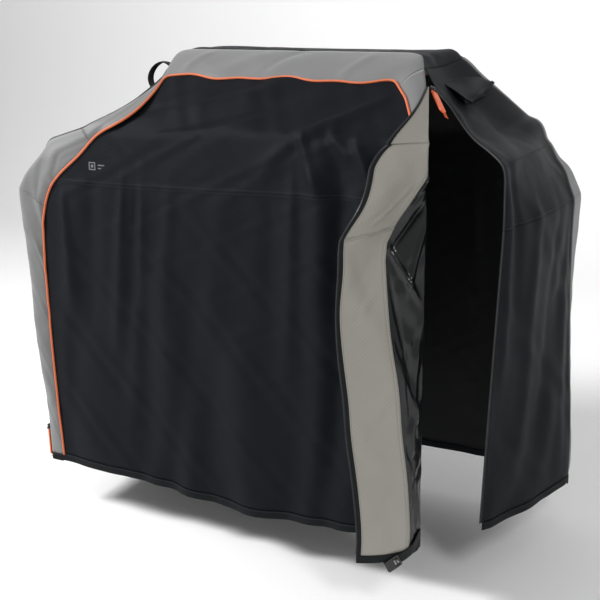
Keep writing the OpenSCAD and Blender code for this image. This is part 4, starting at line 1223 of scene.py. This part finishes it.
a, b = box_of("rear_strap")
gy2 = (a[1] + b[1]) / 2
ss = np.linspace(0, 1, 24)
xs = np.linspace(a[0], b[0], 7)
strap = np.array([[(x, gy2 + 0.0012 * math.sin(5 * t), b[2] + (a[2] - b[2]) * t) for x in xs] for t in ss])
webbing("rear_strap_web", strap, (0, -1, 0), "rear_strap", nodes=("rear_strap",), thick=0.0018)
bx = boxed(a[0] + 0.004, b[0] - 0.004, b[2] - 0.004, b[2] - 0.022)
stitches("rear_strap_box_stitch", spread(np.array([(x, gy2 - 0.0012, z) for x, z in bx]), 60), (0, -1, 0),
         THREAD_GREY, "rear_strap", step=0.0035, length=0.0012, slot="webbing")

# The flap's strap is sewn near the fold and sags along the flap's hem to its buckle.


def flap_at(a, h, lift):
    k = int(np.clip(np.searchsorted(flap_h, h), 0, len(flap_h) - 2))
    x, y, _ = flap_point(table, flap_h, k, a, sagdrop[k])
    x2, y2, _ = flap_point(table, flap_h, k, a + 0.002, sagdrop[k])
    t = np.array([x2 - x, y2 - y, 0.0])
    t /= np.linalg.norm(t)
    nrm = np.array([-t[1], t[0], 0.0])
    if nrm @ np.array(INN) < 0:
        nrm = -nrm
    return np.array([x, y, h + HEM]) + nrm * lift, t, nrm


path = []
for share in np.linspace(0, 1, 30):
    h = 0.040 - 0.038 * share ** 1.2
    p, t, nrm = flap_at(0.016 + 0.090 * share, max(h, 0.018), 0.0045)
    p[2] = h + HEM
    path.append((p, t, nrm))
half_w = 0.0125
strip = []
for idx, (p, t, nrm) in enumerate(path):
    nxt = path[min(idx + 1, len(path) - 1)][0] - path[max(idx - 1, 0)][0]
    nxt /= np.linalg.norm(nxt)
    upv = np.cross(nrm, nxt)
    upv /= np.linalg.norm(upv)
    if upv[2] < 0:
        upv = -upv
    strip.append([p + upv * half_w * c for c in np.linspace(-1, 1, 7)])
strip = np.array(strip)
webbing("flap_strap_web", strip, INN, "flap_strap", nodes=("flap_strap",), thick=0.0018)
p, t, nrm = path[-1]
dirn = path[-1][0] - path[-2][0]
dirn /= np.linalg.norm(dirn)
upv = np.cross(nrm, dirn)
upv /= np.linalg.norm(upv)


def buckle_mesh(name, origin, dx, dy, dz, body, nodes):
    """A side-release buckle's socket: a frame, a cross bar and two cheeks, as one moulding."""
    verts, faces = [], []

    def bar(c, hx, hy, hz):
        base = len(verts)
        for x, y, z in CUBE:
            verts.append(origin + dx * (c[0] + x * hx) + dy * (c[1] + y * hy) + dz * (c[2] + z * hz))
        faces.extend([[base + i for i in f] for f in CUBE_F])
    bar((0.003, 0, 0), 0.0028, 0.0165, 0.0030)
    bar((0.011, 0, 0), 0.0020, 0.0165, 0.0022)
    bar((0.021, -0.0145, 0), 0.018, 0.0026, 0.0036)
    bar((0.021, 0.0145, 0), 0.018, 0.0026, 0.0036)
    bar((0.029, 0, 0.0026), 0.012, 0.0130, 0.0011)
    bar((0.029, 0, -0.0026), 0.012, 0.0130, 0.0011)
    bar((0.0405, 0, 0), 0.0014, 0.0150, 0.0036)
    o = mesh_object(name, verts, faces, [BUCKLE], shade=False)
    m = o.modifiers.new("soft_edges", "BEVEL")
    m.width = 0.0009
    m.segments = 3
    place(o, body, None, nodes)
    return o


buckle_mesh("flap_buckle_half", p, dirn, upv, nrm, "flap_strap", ("flap_buckle",))

# ---- floor, light, camera
FLOOR_BELOW = 0.155
WORLD_STRENGTH = 0.44
me = bpy.data.meshes.new("floor")
z0 = HEM - FLOOR_BELOW
n = 40
prof = [(-6.0, z0)] + [(3.2 + 1.6 * math.sin(t), z0 + 1.6 * (1 - math.cos(t)))
                       for t in np.linspace(0, math.pi / 2, n)] + [(4.8, z0 + 7.0)]
sides = [(x, y, z) for x in (-9.0, 9.0) for y, z in prof]
far = len(prof)
me.from_pydata(sides, [], [(k, k + 1, far + k + 1, far + k) for k in range(far - 1)])
floor = bpy.data.objects.new("floor", me)
bpy.context.scene.collection.objects.link(floor)
me.materials.append(plain("floor_pale", (0.93, 0.93, 0.93), 0.8))
me.polygons.foreach_set("use_smooth", [True] * len(me.polygons))

bpy.context.scene.view_settings.view_transform = "Standard"
studio = bpy.data.worlds.new("studio")
bpy.context.scene.world = studio
studio.use_nodes = True
bg = studio.node_tree.nodes["Background"]
bg.inputs[0].default_value = (1, 1, 1, 1)
bg.inputs[1].default_value = WORLD_STRENGTH


def area(name, at, to, size, power):
    light = bpy.data.lights.new(name, "AREA")
    light.shape = "RECTANGLE"
    light.size, light.size_y = size
    light.energy = power
    o = bpy.data.objects.new(name, light)
    o.location = at
    o.rotation_euler = (Vector(to) - Vector(at)).to_track_quat("-Z", "Y").to_euler()
    bpy.context.scene.collection.objects.link(o)
    return o


mid = (0, 0, -0.65)
area("key", (-3.2, -1.9, 1.6), mid, (1.0, 1.0), 230)
area("fill", (2.8, -2.4, 2.1), mid, (0.8, 1.2), 55)
area("top", (0.2, 0.4, 2.6), mid, (2.6, 1.6), 3)
area("wall", (0.4, 1.5, 0.8), (0.4, 4.8, 0.6), (4.0, 2.4), 30)

cam = bpy.data.cameras.new("camera")
cam.lens, cam.sensor_width = 60.25, 36
camera = bpy.data.objects.new("camera", cam)
az, el, dist = math.radians(26.59), math.radians(15.8), 2.96
target = Vector((0.0017, 0.0, HEM + 0.5202))
camera.location = target + dist * Vector((math.sin(az) * math.cos(el), -math.cos(az) * math.cos(el),
    math.sin(el)))
camera.rotation_euler = (target - camera.location).to_track_quat("-Z", "Y").to_euler()
cam.clip_start = 0.05
bpy.context.scene.collection.objects.link(camera)
bpy.context.scene.camera = camera
